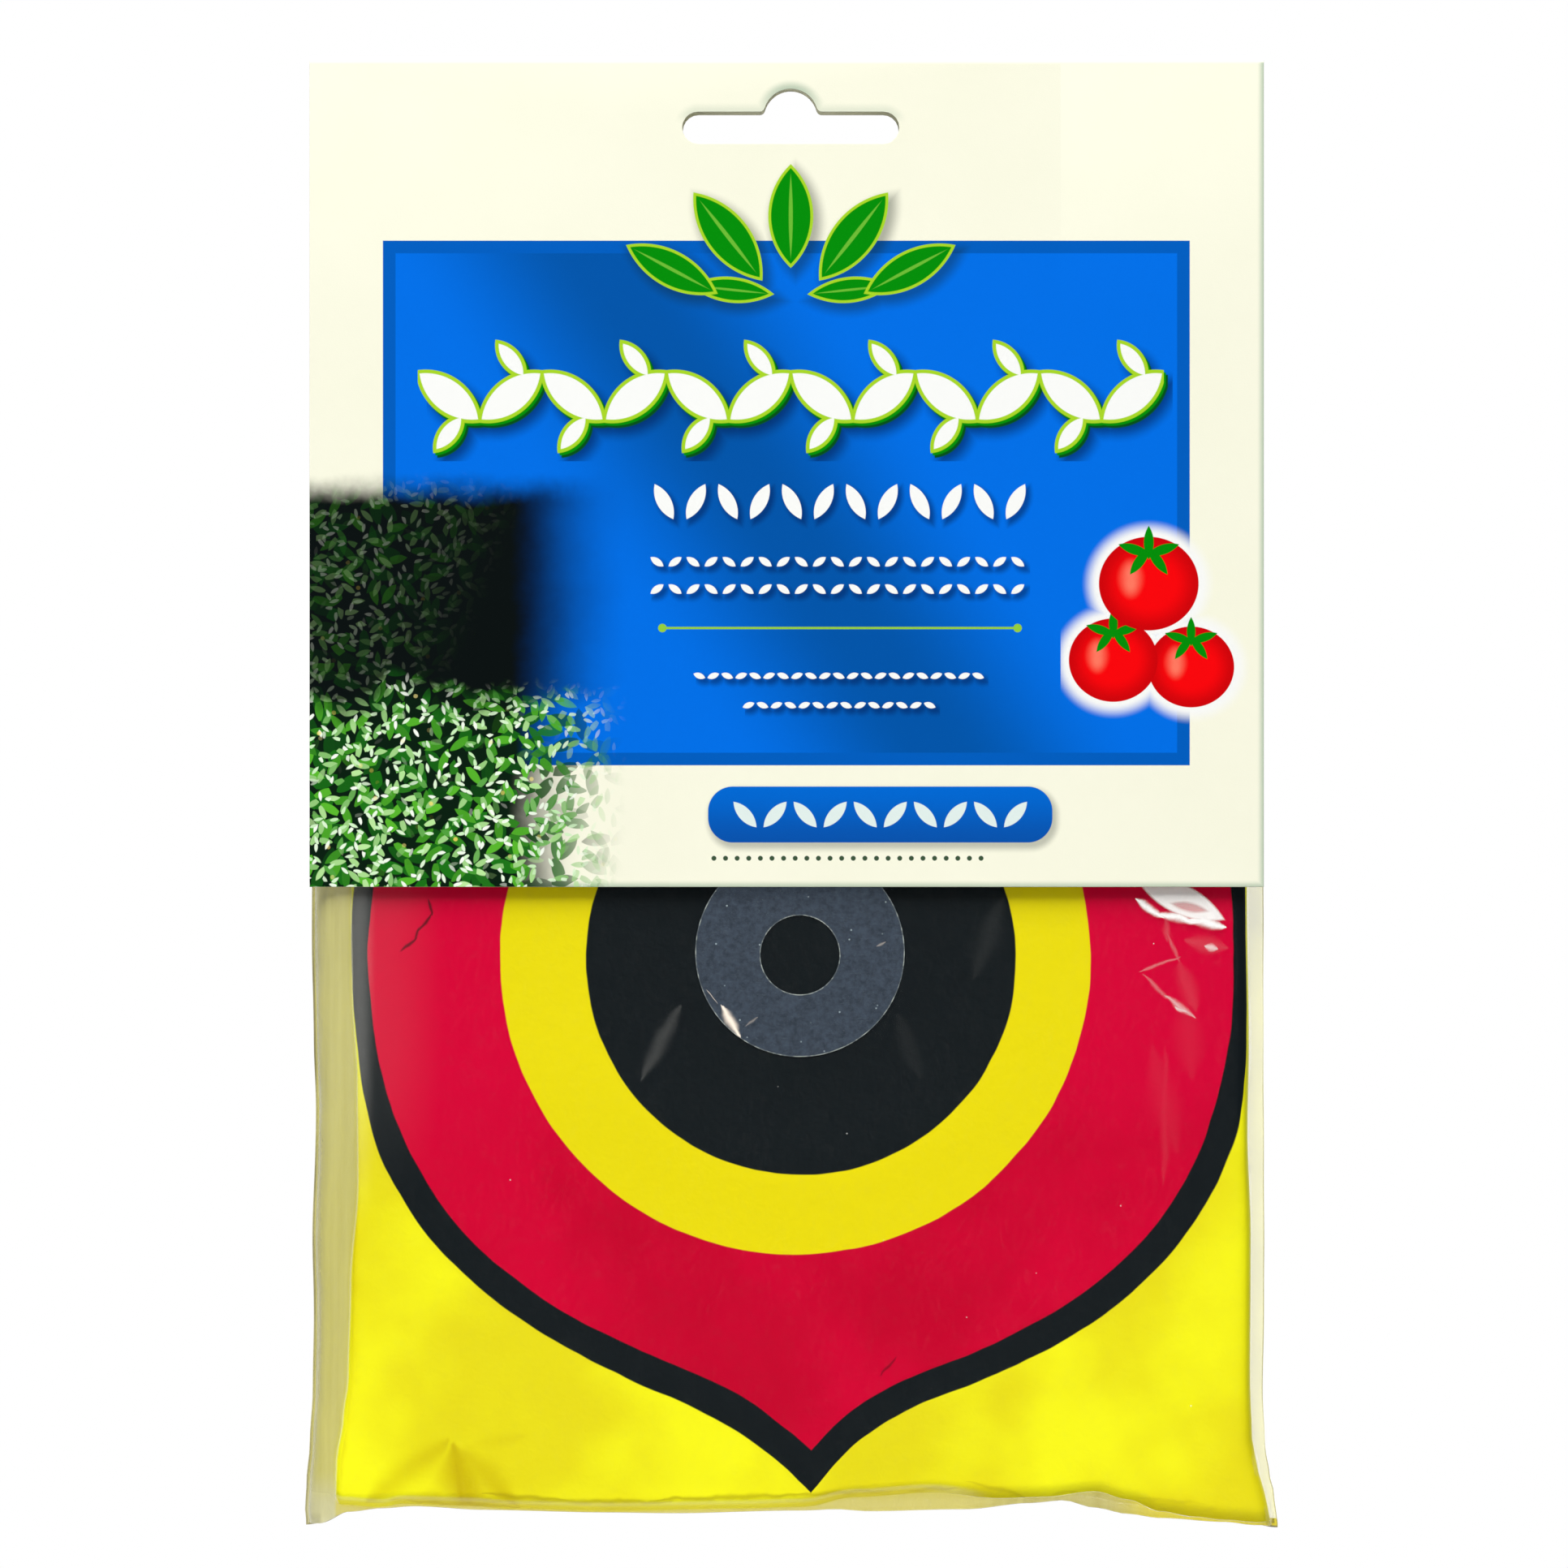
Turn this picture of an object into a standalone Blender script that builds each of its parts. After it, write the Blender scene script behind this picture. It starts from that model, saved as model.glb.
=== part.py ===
"""A folded scare-eye balloon in its hanging retail pack.

Six printed vinyl gores are stacked, folded into a flat packet and slipped into a clear pouch. A folded
header card with a hang slot closes the pouch. Metres, +Z up, the card's front face looks along -Y, and the
origin is where a peg bears at the top of the slot, in the plane of that face.
"""

import math

import bmesh
import bpy
from mathutils import Matrix, Vector

# Clearances
TOUCH = 0.0003
OVERRUN = 0.004

# Header card
CARD_INSET = 0.00075
CARD_HEIGHT = 0.1216
CARD_THICKNESS = 0.00045
CARD_SHIFT = -0.0006
CREASE_RISE = 0.0048
CREASE_RADIUS = 0.0011
SPINE_END_ANGLE = math.radians(50)
SPINE_STEPS = 12
BOW_STEPS = 16

# Hang slot
SLOT_LENGTH = 0.03175
SLOT_HEIGHT = 0.00463
BUMP_RADIUS = 0.00397
BUMP_RISE = 0.00336
BUMP_FILLET = 0.0008
SLOT_ARC_STEPS = 10

# Adhesive strips between the card and the pouch
TAPE_THICKNESS = 0.0001
TAPE_WIDTH = 0.012
TAPE_INSET = 0.01185
TAPE_DROP = 0.024

# Balloon, folded from six gores
BALLOON_DIAMETER = 0.3048
GORE_COUNT = 6
VINYL_THICKNESS = 0.00014
LAYER_GAP = 0.0002
BELT_LENGTH = 0.142
GORE_END_CUT = 0.005
PACKET_SHIFT = 0.00125
PACKET_DROP = 0.0475
INNER_FLAP_LENGTH = 0.0343
OUTER_FOLD_SETBACK = 0.0235
WRAPPED_ZONES = 3
FOLD_STEPS = 10
TAPER_STEPS = 9

# Foil pupils
FOIL_RADIUS = 0.0156
FOIL_HOLE_RADIUS = 0.0058
FOIL_THICKNESS = 0.00003
FOIL_CLEARANCE = 0.0001
FOIL_STEPS = 32

# Pole caps and hanging tab
CAP_RADIUS = 0.014
CAP_THICKNESS = 0.0002
CAP_CLEARANCE = 0.0002
CAP_STEPS = 8
TAB_WIDTH = 0.011
TAB_REACH = 0.0105
TAB_OVERLAP = 0.008
TAB_THICKNESS = 0.0004
EYELET_BORE_RADIUS = 0.0022
EYELET_WALL = 0.0004
EYELET_FLANGE_RADIUS = 0.0038
EYELET_FLANGE_THICKNESS = 0.00025
EYELET_CLEARANCE = 0.0002
RING_ROOM = 0.0013
RING_WIRE_RADIUS = 0.0004
RING_TILT = math.radians(38)
RING_STEPS = 32
WIRE_STEPS = 10

# Inflation valve and its stopper
VALVE_SETBACK = 0.032
VALVE_FLANGE_RADIUS = 0.007
VALVE_FLANGE_THICKNESS = 0.0004
VALVE_TUBE_RADIUS = 0.0026
VALVE_BORE_RADIUS = 0.0016
VALVE_TUBE_LENGTH = 0.0067
VALVE_STEPS = 20
HINGE_RISE = 0.001
HINGE_WIDTH = 0.0024
EAR_LENGTH = 0.0016
STOPPER_THICKNESS = 0.0008
STOPPER_STEM_RADIUS = 0.00125
STOPPER_TIP_RADIUS = 0.0009
STOPPER_STEM_LENGTH = 0.0015

# Clear pouch
FILM_THICKNESS = 0.00006
POUCH_ROOM = 0.0035
POUCH_SHIFT = 0.0003
WELD_WIDTH = 0.0009
MOUTH_DROP = 0.014
BULGE_ROOM = 0.0027
BULGE_SLOPE = 0.03
BULGE_ACROSS_STEPS = 11
BULGE_DOWN_STEPS = 14
LEFT_SLOPE = 0.026
RIGHT_SLOPE = 0.009
FRONT_CORNER = 0.0058
SHOULDER_ROOM = 0.0029
BASE_CLEARANCE = 0.0005
BASE_DEPTH = 0.0006
EAR_DROP = 0.0021
EAR_POWER = 6
SIDE_FLARE = 0.0011
FLARE_HEIGHT = 0.06
WELD_DEPTH_SHARE = 0.45
CORNER_STEPS = 6
BASE_STEPS = 5


def plastic(name, colour, roughness, metallic=0.0, alpha=1.0):
    """A Principled material in the piece's own colour."""
    material = bpy.data.materials.new(name)
    material.use_nodes = True
    shader = material.node_tree.nodes["Principled BSDF"]
    shader.inputs["Base Color"].default_value = (*colour, 1.0)
    shader.inputs["Roughness"].default_value = roughness
    shader.inputs["Metallic"].default_value = metallic
    shader.inputs["Alpha"].default_value = alpha
    return material


def place(name, mesh_builder, material, origin=None):
    """Turns a bmesh into a named object whose origin sits at the given point."""
    bmesh.ops.recalc_face_normals(mesh_builder, faces=mesh_builder.faces[:])
    mesh = bpy.data.meshes.new(name)
    mesh_builder.to_mesh(mesh)
    mesh_builder.free()
    mesh.materials.append(material)
    made = bpy.data.objects.new(name, mesh)
    bpy.context.scene.collection.objects.link(made)
    if origin is not None:
        mesh.transform(Matrix.Translation(-origin))
        made.location = origin
    return made


def loft(rings, flattened=False):
    """A closed tube through rings of equal length; a flattened one has its ends closed front to back."""
    builder = bmesh.new()
    rows = [[builder.verts.new(point) for point in ring] for ring in rings]
    for low, high in zip(rows, rows[1:]):
        for index in range(len(low)):
            after = (index + 1) % len(low)
            builder.faces.new((low[index], low[after], high[after], high[index]))
    for row in (rows[0], rows[-1]):
        if flattened:
            for index in range(len(row) // 2 - 1):
                builder.faces.new((row[index], row[index + 1], row[-2 - index], row[-1 - index]))
        else:
            builder.faces.new(row)
    return builder


def helper(made):
    """Keeps a cutter or a joined shape out of the model."""
    made.hide_render = True
    made.display_type = "WIRE"
    return made


def combine(made, other, operation):
    step = made.modifiers.new(operation.title(), "BOOLEAN")
    step.operation = operation
    step.object = helper(other)
    return made


def shade(made, angle=math.radians(35)):
    made.data.shade_smooth()
    made.data.set_sharp_from_angle(angle=angle)
    return made


def arc(centre, radius, start, end, steps):
    """Points along an arc in a plane, both ends included."""
    for index in range(steps + 1):
        angle = start + (end - start) * index / steps
        yield (centre[0] + radius * math.cos(angle), centre[1] + radius * math.sin(angle))


# Sizes worked out from the driving ones
LAYER_PITCH = VINYL_THICKNESS + LAYER_GAP
STACK_DEPTH = (GORE_COUNT - 1) * LAYER_PITCH + VINYL_THICKNESS
ZONE_GAP = CAP_THICKNESS + 2 * CAP_CLEARANCE
ZONE_PITCH = STACK_DEPTH + ZONE_GAP
GORE_WIDTH = math.pi * BALLOON_DIAMETER / GORE_COUNT
GORE_LENGTH = math.pi * BALLOON_DIAMETER / 2
POUCH_FRONT = CARD_THICKNESS + TOUCH + TAPE_THICKNESS + TOUCH
PACKET_FRONT = POUCH_FRONT + FILM_THICKNESS + TOUCH + FOIL_THICKNESS + FOIL_CLEARANCE
FRONT_ZONE = PACKET_FRONT + STACK_DEPTH / 2
OUTER_ZONE = FRONT_ZONE + WRAPPED_ZONES * ZONE_PITCH
TIP_ZONE = OUTER_ZONE + ZONE_PITCH
PACKET_BACK = OUTER_ZONE + STACK_DEPTH / 2
TIP_BACK = TIP_ZONE + STACK_DEPTH / 2
INNER_FOLD_RADIUS = ZONE_PITCH / 2
OUTER_FOLD_RADIUS = WRAPPED_ZONES * ZONE_PITCH / 2
HALF_LENGTH = GORE_LENGTH / 2 - GORE_END_CUT
LEFT_RUN = HALF_LENGTH - INNER_FLAP_LENGTH - 2 * math.pi * INNER_FOLD_RADIUS
PACKET_WIDTH = 2 / 3 * (LEFT_RUN + 2 * INNER_FOLD_RADIUS + OUTER_FOLD_RADIUS) + STACK_DEPTH
LEFT_FOLD_X = PACKET_SHIFT - PACKET_WIDTH / 2 + INNER_FOLD_RADIUS + STACK_DEPTH / 2
RIGHT_FOLD_X = PACKET_SHIFT + PACKET_WIDTH / 2 - OUTER_FOLD_RADIUS - STACK_DEPTH / 2
OUTER_TIP_FOLD_X = LEFT_FOLD_X + OUTER_FOLD_SETBACK
OUTER_FLAP_LENGTH = (
    HALF_LENGTH
    - (RIGHT_FOLD_X - PACKET_SHIFT)
    - (RIGHT_FOLD_X - OUTER_TIP_FOLD_X)
    - math.pi * (INNER_FOLD_RADIUS + OUTER_FOLD_RADIUS)
)
INNER_POLE_X = RIGHT_FOLD_X - INNER_FLAP_LENGTH
OUTER_POLE_X = OUTER_TIP_FOLD_X + OUTER_FLAP_LENGTH
EYE_DROP = PACKET_DROP + GORE_WIDTH / 2
PACKET_TOP = -PACKET_DROP
PACKET_BOTTOM = PACKET_TOP - GORE_WIDTH
POUCH_WIDTH = PACKET_WIDTH + 2 * POUCH_ROOM
CARD_WIDTH = POUCH_WIDTH - 2 * CARD_INSET
CARD_BOTTOM = CREASE_RISE - CARD_HEIGHT
TAPE_LENGTH = CARD_WIDTH - 2 * TAPE_INSET
RING_RADIUS = (TAB_WIDTH / 2 + RING_ROOM + RING_WIRE_RADIUS) / 2
VALVE_BASE = TIP_BACK + TOUCH
VALVE_AXIS_Y = VALVE_BASE + VALVE_FLANGE_THICKNESS + VALVE_TUBE_RADIUS
VALVE_BEND_RADIUS = VALVE_TUBE_RADIUS + VALVE_FLANGE_THICKNESS / 2
TAB_END_X = OUTER_POLE_X + TAB_REACH + TAB_WIDTH / 2
MOUTH_X = OUTER_POLE_X - VALVE_SETBACK - VALVE_BEND_RADIUS - VALVE_TUBE_LENGTH
STOPPER_END_X = MOUTH_X - TOUCH - STOPPER_THICKNESS
CONTENTS_BACK = VALVE_AXIS_Y + VALVE_TUBE_RADIUS
POUCH_DEPTH = TIP_BACK + BASE_CLEARANCE
BULGE_HEIGHT = CONTENTS_BACK + BASE_CLEARANCE - POUCH_DEPTH


def bulge(x, z):
    """How far the back film stands out over the valve and the tab."""
    middle = (TAB_END_X + STOPPER_END_X) / 2
    flat = (TAB_END_X - STOPPER_END_X) / 2 + BULGE_ROOM
    away = math.hypot(x - middle, z + EYE_DROP) - flat
    share = min(max(away / BULGE_SLOPE, 0.0), 1.0)
    return BULGE_HEIGHT * math.cos(math.pi / 2 * share) ** 2


# The back panel bows over the packet: a parabola from the crease, past the packet's top, over the bulge
SPINE_CENTRE = Vector((CREASE_RADIUS, CREASE_RISE - CREASE_RADIUS))
SPINE_MIDDLE_RADIUS = CREASE_RADIUS - CARD_THICKNESS / 2
BACK_STACK = FILM_THICKNESS + TOUCH + TAPE_THICKNESS + TOUCH + CARD_THICKNESS / 2
BOW_TOP_Y = PACKET_BACK + SHOULDER_ROOM + BACK_STACK
BOW_END_Y = POUCH_DEPTH + BULGE_HEIGHT + BACK_STACK
HINGE_Y = SPINE_CENTRE.x + SPINE_MIDDLE_RADIUS
HINGE_Z = SPINE_CENTRE.y
TOP_RUN = HINGE_Z - PACKET_TOP
FULL_RUN = HINGE_Z - CARD_BOTTOM
BOW_CURVE = ((BOW_END_Y - HINGE_Y) / FULL_RUN - (BOW_TOP_Y - HINGE_Y) / TOP_RUN) / (FULL_RUN - TOP_RUN)
BOW_SLOPE = (BOW_TOP_Y - HINGE_Y) / TOP_RUN - BOW_CURVE * TOP_RUN


def bow(z):
    """The depth of the back panel's middle at a height."""
    run = HINGE_Z - z
    return HINGE_Y + BOW_SLOPE * run + BOW_CURVE * run * run


def bow_section(top, bottom, inner, outer, steps):
    """A strip that follows the bowed panel, between two offsets from its middle."""
    levels = [top + (bottom - top) * index / steps for index in range(steps + 1)]
    slopes = [BOW_SLOPE + 2 * BOW_CURVE * (HINGE_Z - z) for z in levels]
    lengths = [math.hypot(1, slope) for slope in slopes]
    front = [(bow(z) + inner / run, z + inner * slope / run) for z, slope, run in zip(levels, slopes, lengths)]
    back = [(bow(z) + outer / run, z + outer * slope / run) for z, slope, run in zip(levels, slopes, lengths)]
    return front, back


def swept_across(section, width, shift):
    """A section in Y and Z carried straight across in X."""
    return loft([[Vector((shift + side * width / 2, y, z)) for y, z in section] for side in (-1, 1)])


def slot_outline():
    """Half of the slot from the peg point round to the middle of its lower edge, then the other half."""
    bar_top = -BUMP_RISE
    bar_middle = bar_top - SLOT_HEIGHT / 2
    rise = bar_top + BUMP_FILLET + BUMP_RADIUS
    reach = math.sqrt((BUMP_RADIUS + BUMP_FILLET) ** 2 - rise**2)
    lean = math.atan2(rise, reach)
    half = list(arc((0, -BUMP_RADIUS), BUMP_RADIUS, math.pi / 2, lean, SLOT_ARC_STEPS))
    half += list(
        arc((reach, bar_top + BUMP_FILLET), BUMP_FILLET, math.pi + lean, 3 * math.pi / 2, SLOT_ARC_STEPS // 2)
    )[1:]
    end = (SLOT_LENGTH / 2 - SLOT_HEIGHT / 2, bar_middle)
    half += list(arc(end, SLOT_HEIGHT / 2, math.pi / 2, -math.pi / 2, SLOT_ARC_STEPS))
    return half + [(-x, z) for x, z in reversed(half[1:])]


def slot_cutter(name):
    near, far = -OVERRUN, bow(-BUMP_RISE - SLOT_HEIGHT) + OVERRUN
    return place(name, loft([[Vector((x, y, z)) for x, z in slot_outline()] for y in (near, far)]), card_stock)


def gore_half_width(run):
    """Half the gore's width this far from its middle: a straight belt, then a cosine to the pole."""
    belt = BELT_LENGTH / 2
    if run <= belt:
        return GORE_WIDTH / 2
    return GORE_WIDTH / 2 * math.cos(math.pi / 2 * (run - belt) / (GORE_LENGTH / 2 - belt))


def folded_stations(offset):
    """The packet's folds seen from above, as (x, y, sideways x, sideways y, run) for one layer of the stack.

    The run is counted along the stack's middle from the eye, negative to the left.
    """
    stations = []

    def straight(start, end, y, facing, run, steps):
        for index in range(steps + 1):
            x = start + (end - start) * index / steps
            stations.append((x, y + facing * offset, 0.0, facing, run + abs(x - start)))

    def turn(x, y, radius, start, end, run, sign):
        for index in range(1, FOLD_STEPS):
            angle = start + (end - start) * index / FOLD_STEPS
            across, along = math.cos(angle), math.sin(angle)
            reach = radius + sign * offset
            arrived = run + radius * abs(angle - start)
            stations.append((x + reach * across, y + reach * along, sign * across, sign * along, arrived))

    quarter = math.pi / 2
    first = PACKET_SHIFT - LEFT_FOLD_X
    bend = math.pi * INNER_FOLD_RADIUS
    long_run = RIGHT_FOLD_X - LEFT_FOLD_X
    straight(PACKET_SHIFT, LEFT_FOLD_X, FRONT_ZONE, 1, 0.0, 1)
    turn(LEFT_FOLD_X, FRONT_ZONE + INNER_FOLD_RADIUS, INNER_FOLD_RADIUS, -quarter, -3 * quarter, first, -1)
    straight(LEFT_FOLD_X, RIGHT_FOLD_X, FRONT_ZONE + ZONE_PITCH, -1, first + bend, TAPER_STEPS)
    second = first + bend + long_run
    tip_y = FRONT_ZONE + ZONE_PITCH + INNER_FOLD_RADIUS
    turn(RIGHT_FOLD_X, tip_y, INNER_FOLD_RADIUS, -quarter, quarter, second, 1)
    straight(RIGHT_FOLD_X, INNER_POLE_X, FRONT_ZONE + 2 * ZONE_PITCH, 1, second + bend, TAPER_STEPS // 2)
    left = [(x, y, nx, ny, -run) for x, y, nx, ny, run in stations]
    stations.clear()

    first = RIGHT_FOLD_X - PACKET_SHIFT
    wide_bend = math.pi * OUTER_FOLD_RADIUS
    long_run = RIGHT_FOLD_X - OUTER_TIP_FOLD_X
    straight(PACKET_SHIFT, RIGHT_FOLD_X, FRONT_ZONE, 1, 0.0, 1)
    turn(RIGHT_FOLD_X, FRONT_ZONE + OUTER_FOLD_RADIUS, OUTER_FOLD_RADIUS, -quarter, quarter, first, -1)
    straight(RIGHT_FOLD_X, OUTER_TIP_FOLD_X, OUTER_ZONE, -1, first + wide_bend, TAPER_STEPS)
    second = first + wide_bend + long_run
    tip_y = OUTER_ZONE + INNER_FOLD_RADIUS
    turn(OUTER_TIP_FOLD_X, tip_y, INNER_FOLD_RADIUS, -quarter, -3 * quarter, second, 1)
    straight(OUTER_TIP_FOLD_X, OUTER_POLE_X, TIP_ZONE, 1, second + bend, TAPER_STEPS // 2)
    return list(reversed(left)) + stations[1:]


def sheet_ring(x, y, across, along, half_width, thickness):
    """The four corners of a thin sheet's cross-section, standing upright about the eye's height."""
    low, high = -EYE_DROP - half_width, -EYE_DROP + half_width
    dx, dy = across * thickness / 2, along * thickness / 2
    return [
        Vector((x - dx, y - dy, low)),
        Vector((x - dx, y - dy, high)),
        Vector((x + dx, y + dy, high)),
        Vector((x + dx, y + dy, low)),
    ]


def gore(index):
    offset = (index - (GORE_COUNT - 1) / 2) * LAYER_PITCH
    rings = [
        sheet_ring(x, y, nx, ny, gore_half_width(abs(run)), VINYL_THICKNESS)
        for x, y, nx, ny, run in folded_stations(offset)
    ]
    return shade(place(f"gore_{index + 1}", loft(rings), vinyl))


def pole_cap(name, pole_x, zone, facing):
    """A round patch folded in half over the gores' ends; facing is the way the ends point."""
    radius = STACK_DEPTH / 2 + CAP_CLEARANCE + CAP_THICKNESS / 2
    rings = []
    for side in (-1, 1):
        leg = []
        for index in range(CAP_STEPS):
            angle = math.pi / 2 * (index + 1) / (CAP_STEPS + 1)
            x = pole_x - facing * CAP_RADIUS * math.cos(angle)
            half = CAP_RADIUS * math.sin(angle)
            leg.append(sheet_ring(x, zone + side * radius, 0.0, side, half, CAP_THICKNESS))
        rings.append(leg)
    bend = []
    for index in range(FOLD_STEPS + 1):
        angle = -math.pi / 2 + math.pi * index / FOLD_STEPS
        x = pole_x + facing * radius * math.cos(angle)
        across, along = facing * math.cos(angle), math.sin(angle)
        bend.append(sheet_ring(x, zone + radius * math.sin(angle), across, along, CAP_RADIUS, CAP_THICKNESS))
    return shade(place(name, loft(rings[0] + bend + list(reversed(rings[1]))), vinyl))


def turned(profile, centre, axis, steps):
    """A profile of (radius, height) pairs turned about an axis through a point."""
    builder = bmesh.new()
    turn = axis.to_track_quat("Z", "Y")
    points = [builder.verts.new(centre + turn @ Vector((radius, 0, height))) for radius, height in profile]
    edges = [builder.edges.new(pair) for pair in zip(points, points[1:] + points[:1])]
    bmesh.ops.spin(
        builder,
        geom=points + edges,
        cent=centre,
        axis=axis,
        angle=2 * math.pi,
        steps=steps,
        use_merge=True,
    )
    return builder


def turned_solid(rings, centre, axis, steps):
    """A solid of (radius, height) rings stacked along an axis through a point."""
    turn = axis.to_track_quat("Z", "Y")
    return loft(
        [
            [
                centre + turn @ Vector((radius * math.cos(angle), radius * math.sin(angle), height))
                for angle in (2 * math.pi * index / steps for index in range(steps))
            ]
            for radius, height in rings
        ]
    )


def foil_depth(index):
    """The middle of a foil disc, on the printed side of its gore: odd gores face forward."""
    front = PACKET_FRONT + index * LAYER_PITCH
    if index == 0:
        return front - FOIL_CLEARANCE - FOIL_THICKNESS / 2
    room = (LAYER_GAP - 2 * FOIL_THICKNESS) / 3
    if index % 2:
        return front + VINYL_THICKNESS + room + FOIL_THICKNESS / 2
    return front - room - FOIL_THICKNESS / 2


def foil_pupil(index):
    half = FOIL_THICKNESS / 2
    profile = [(FOIL_HOLE_RADIUS, -half), (FOIL_RADIUS, -half), (FOIL_RADIUS, half), (FOIL_HOLE_RADIUS, half)]
    centre = Vector((PACKET_SHIFT, foil_depth(index), -EYE_DROP))
    return place(f"foil_pupil_{index + 1}", turned(profile, centre, Vector((0, 1, 0)), FOIL_STEPS), foil)


def hang_tab():
    """A welded tongue on the outer pole cap, round at its eyelet end."""
    y = TIP_BACK + CAP_CLEARANCE + CAP_THICKNESS + TOUCH + TAB_THICKNESS / 2
    eye = Vector((OUTER_POLE_X + TAB_REACH, y, -EYE_DROP))
    outline = list(arc((eye.x, eye.z), TAB_WIDTH / 2, -math.pi / 2, math.pi / 2, 2 * FOLD_STEPS))
    back = OUTER_POLE_X - TAB_OVERLAP
    outline += [(back, eye.z + TAB_WIDTH / 2), (back, eye.z - TAB_WIDTH / 2)]
    faces = [y - TAB_THICKNESS / 2, y + TAB_THICKNESS / 2]
    tab = place("hang_tab", loft([[Vector((x, depth, z)) for x, z in outline] for depth in faces]), vinyl)
    hole_radius = EYELET_BORE_RADIUS + EYELET_WALL + EYELET_CLEARANCE
    hole = turned_solid(
        [(hole_radius, -OVERRUN), (hole_radius, OVERRUN)], eye, Vector((0, 1, 0)), RING_STEPS
    )
    combine(tab, place("tab_hole", hole, vinyl), "DIFFERENCE")
    return eye


def eyelet(eye):
    """A metal eyelet rolled over both faces of the tab."""
    groove = TAB_THICKNESS / 2 + EYELET_CLEARANCE
    flange = groove + EYELET_FLANGE_THICKNESS
    wall = EYELET_BORE_RADIUS + EYELET_WALL
    profile = [
        (EYELET_BORE_RADIUS, -flange + EYELET_FLANGE_THICKNESS / 2),
        (wall, -flange),
        (EYELET_FLANGE_RADIUS - EYELET_FLANGE_THICKNESS, -flange),
        (EYELET_FLANGE_RADIUS, -groove),
        (wall, -groove),
        (wall, groove),
        (EYELET_FLANGE_RADIUS, groove),
        (EYELET_FLANGE_RADIUS - EYELET_FLANGE_THICKNESS, flange),
        (wall, flange),
        (EYELET_BORE_RADIUS, flange - EYELET_FLANGE_THICKNESS / 2),
    ]
    return shade(place("tab_eyelet", turned(profile, eye, Vector((0, 1, 0)), RING_STEPS), nickel))


def hanging_ring(eye):
    """A split ring through the eyelet, tipped so that it clears both flanges."""
    builder = bmesh.new()
    around, normal = Vector((1, 0, 0)), Vector((0, math.cos(RING_TILT), -math.sin(RING_TILT)))
    centre = eye + around * RING_RADIUS
    side = around.cross(normal)
    wire = [
        centre
        - around * (RING_RADIUS + RING_WIRE_RADIUS * math.cos(angle))
        + normal * RING_WIRE_RADIUS * math.sin(angle)
        for angle in (2 * math.pi * index / WIRE_STEPS for index in range(WIRE_STEPS))
    ]
    points = [builder.verts.new(point) for point in wire]
    edges = [builder.edges.new(pair) for pair in zip(points, points[1:] + points[:1])]
    bmesh.ops.spin(
        builder,
        geom=points + edges,
        cent=centre,
        axis=around.cross(side).normalized(),
        angle=2 * math.pi,
        steps=RING_STEPS,
        use_merge=True,
    )
    return shade(place("hanging_ring", builder, nickel, eye))


def valve_tube(radius, overrun):
    """A tube along the valve's bent centre line, from inside the flange to the mouth, run on at both ends."""
    x, z = OUTER_POLE_X - VALVE_SETBACK, -EYE_DROP
    bend = Vector((x - VALVE_BEND_RADIUS, VALVE_AXIS_Y - VALVE_BEND_RADIUS, z))
    path = []
    for index in range(FOLD_STEPS + 1):
        angle = math.pi / 2 * index / FOLD_STEPS
        across = Vector((math.cos(angle), math.sin(angle), 0))
        path.append((bend + across * VALVE_BEND_RADIUS, across))
    path.append((Vector((MOUTH_X - overrun, VALVE_AXIS_Y, z)), path[-1][1]))
    if overrun:
        path.insert(0, (path[0][0] - Vector((0, overrun, 0)), path[0][1]))
    return loft(
        [
            [
                point + across * radius * math.cos(angle) + Vector((0, 0, radius * math.sin(angle)))
                for angle in (math.pi * (2 * index + 1) / VALVE_STEPS for index in range(VALVE_STEPS))
            ]
            for point, across in path
        ]
    )


def box(low, high):
    corners = [(low.x, low.z), (high.x, low.z), (high.x, high.z), (low.x, high.z)]
    return loft([[Vector((x, y, z)) for x, z in corners] for y in (low.y, high.y)])


def valve_body():
    """A soft valve pressed over on its side: flange, bent tube, and the ear that its stopper hangs on."""
    x, z = OUTER_POLE_X - VALVE_SETBACK, -EYE_DROP
    base = Vector((x, VALVE_BASE, z))
    flange = turned_solid(
        [(VALVE_FLANGE_RADIUS, 0), (VALVE_FLANGE_RADIUS, VALVE_FLANGE_THICKNESS)],
        base,
        Vector((0, 1, 0)),
        RING_STEPS,
    )
    valve = place("inflation_valve", flange, clear_plastic)
    combine(valve, place("valve_tube", valve_tube(VALVE_TUBE_RADIUS, 0), clear_plastic), "UNION")
    mouth = Vector((MOUTH_X, VALVE_AXIS_Y, z))
    half = HINGE_WIDTH / 2
    low = Vector((mouth.x, mouth.y - half, mouth.z + (VALVE_BORE_RADIUS + VALVE_TUBE_RADIUS) / 2))
    high = Vector((mouth.x + EAR_LENGTH, mouth.y + half, mouth.z + VALVE_TUBE_RADIUS + HINGE_RISE))
    combine(valve, place("valve_ear", box(low, high), clear_plastic), "UNION")
    combine(valve, place("valve_bore", valve_tube(VALVE_BORE_RADIUS, OVERRUN), clear_plastic), "DIFFERENCE")
    return mouth


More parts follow.
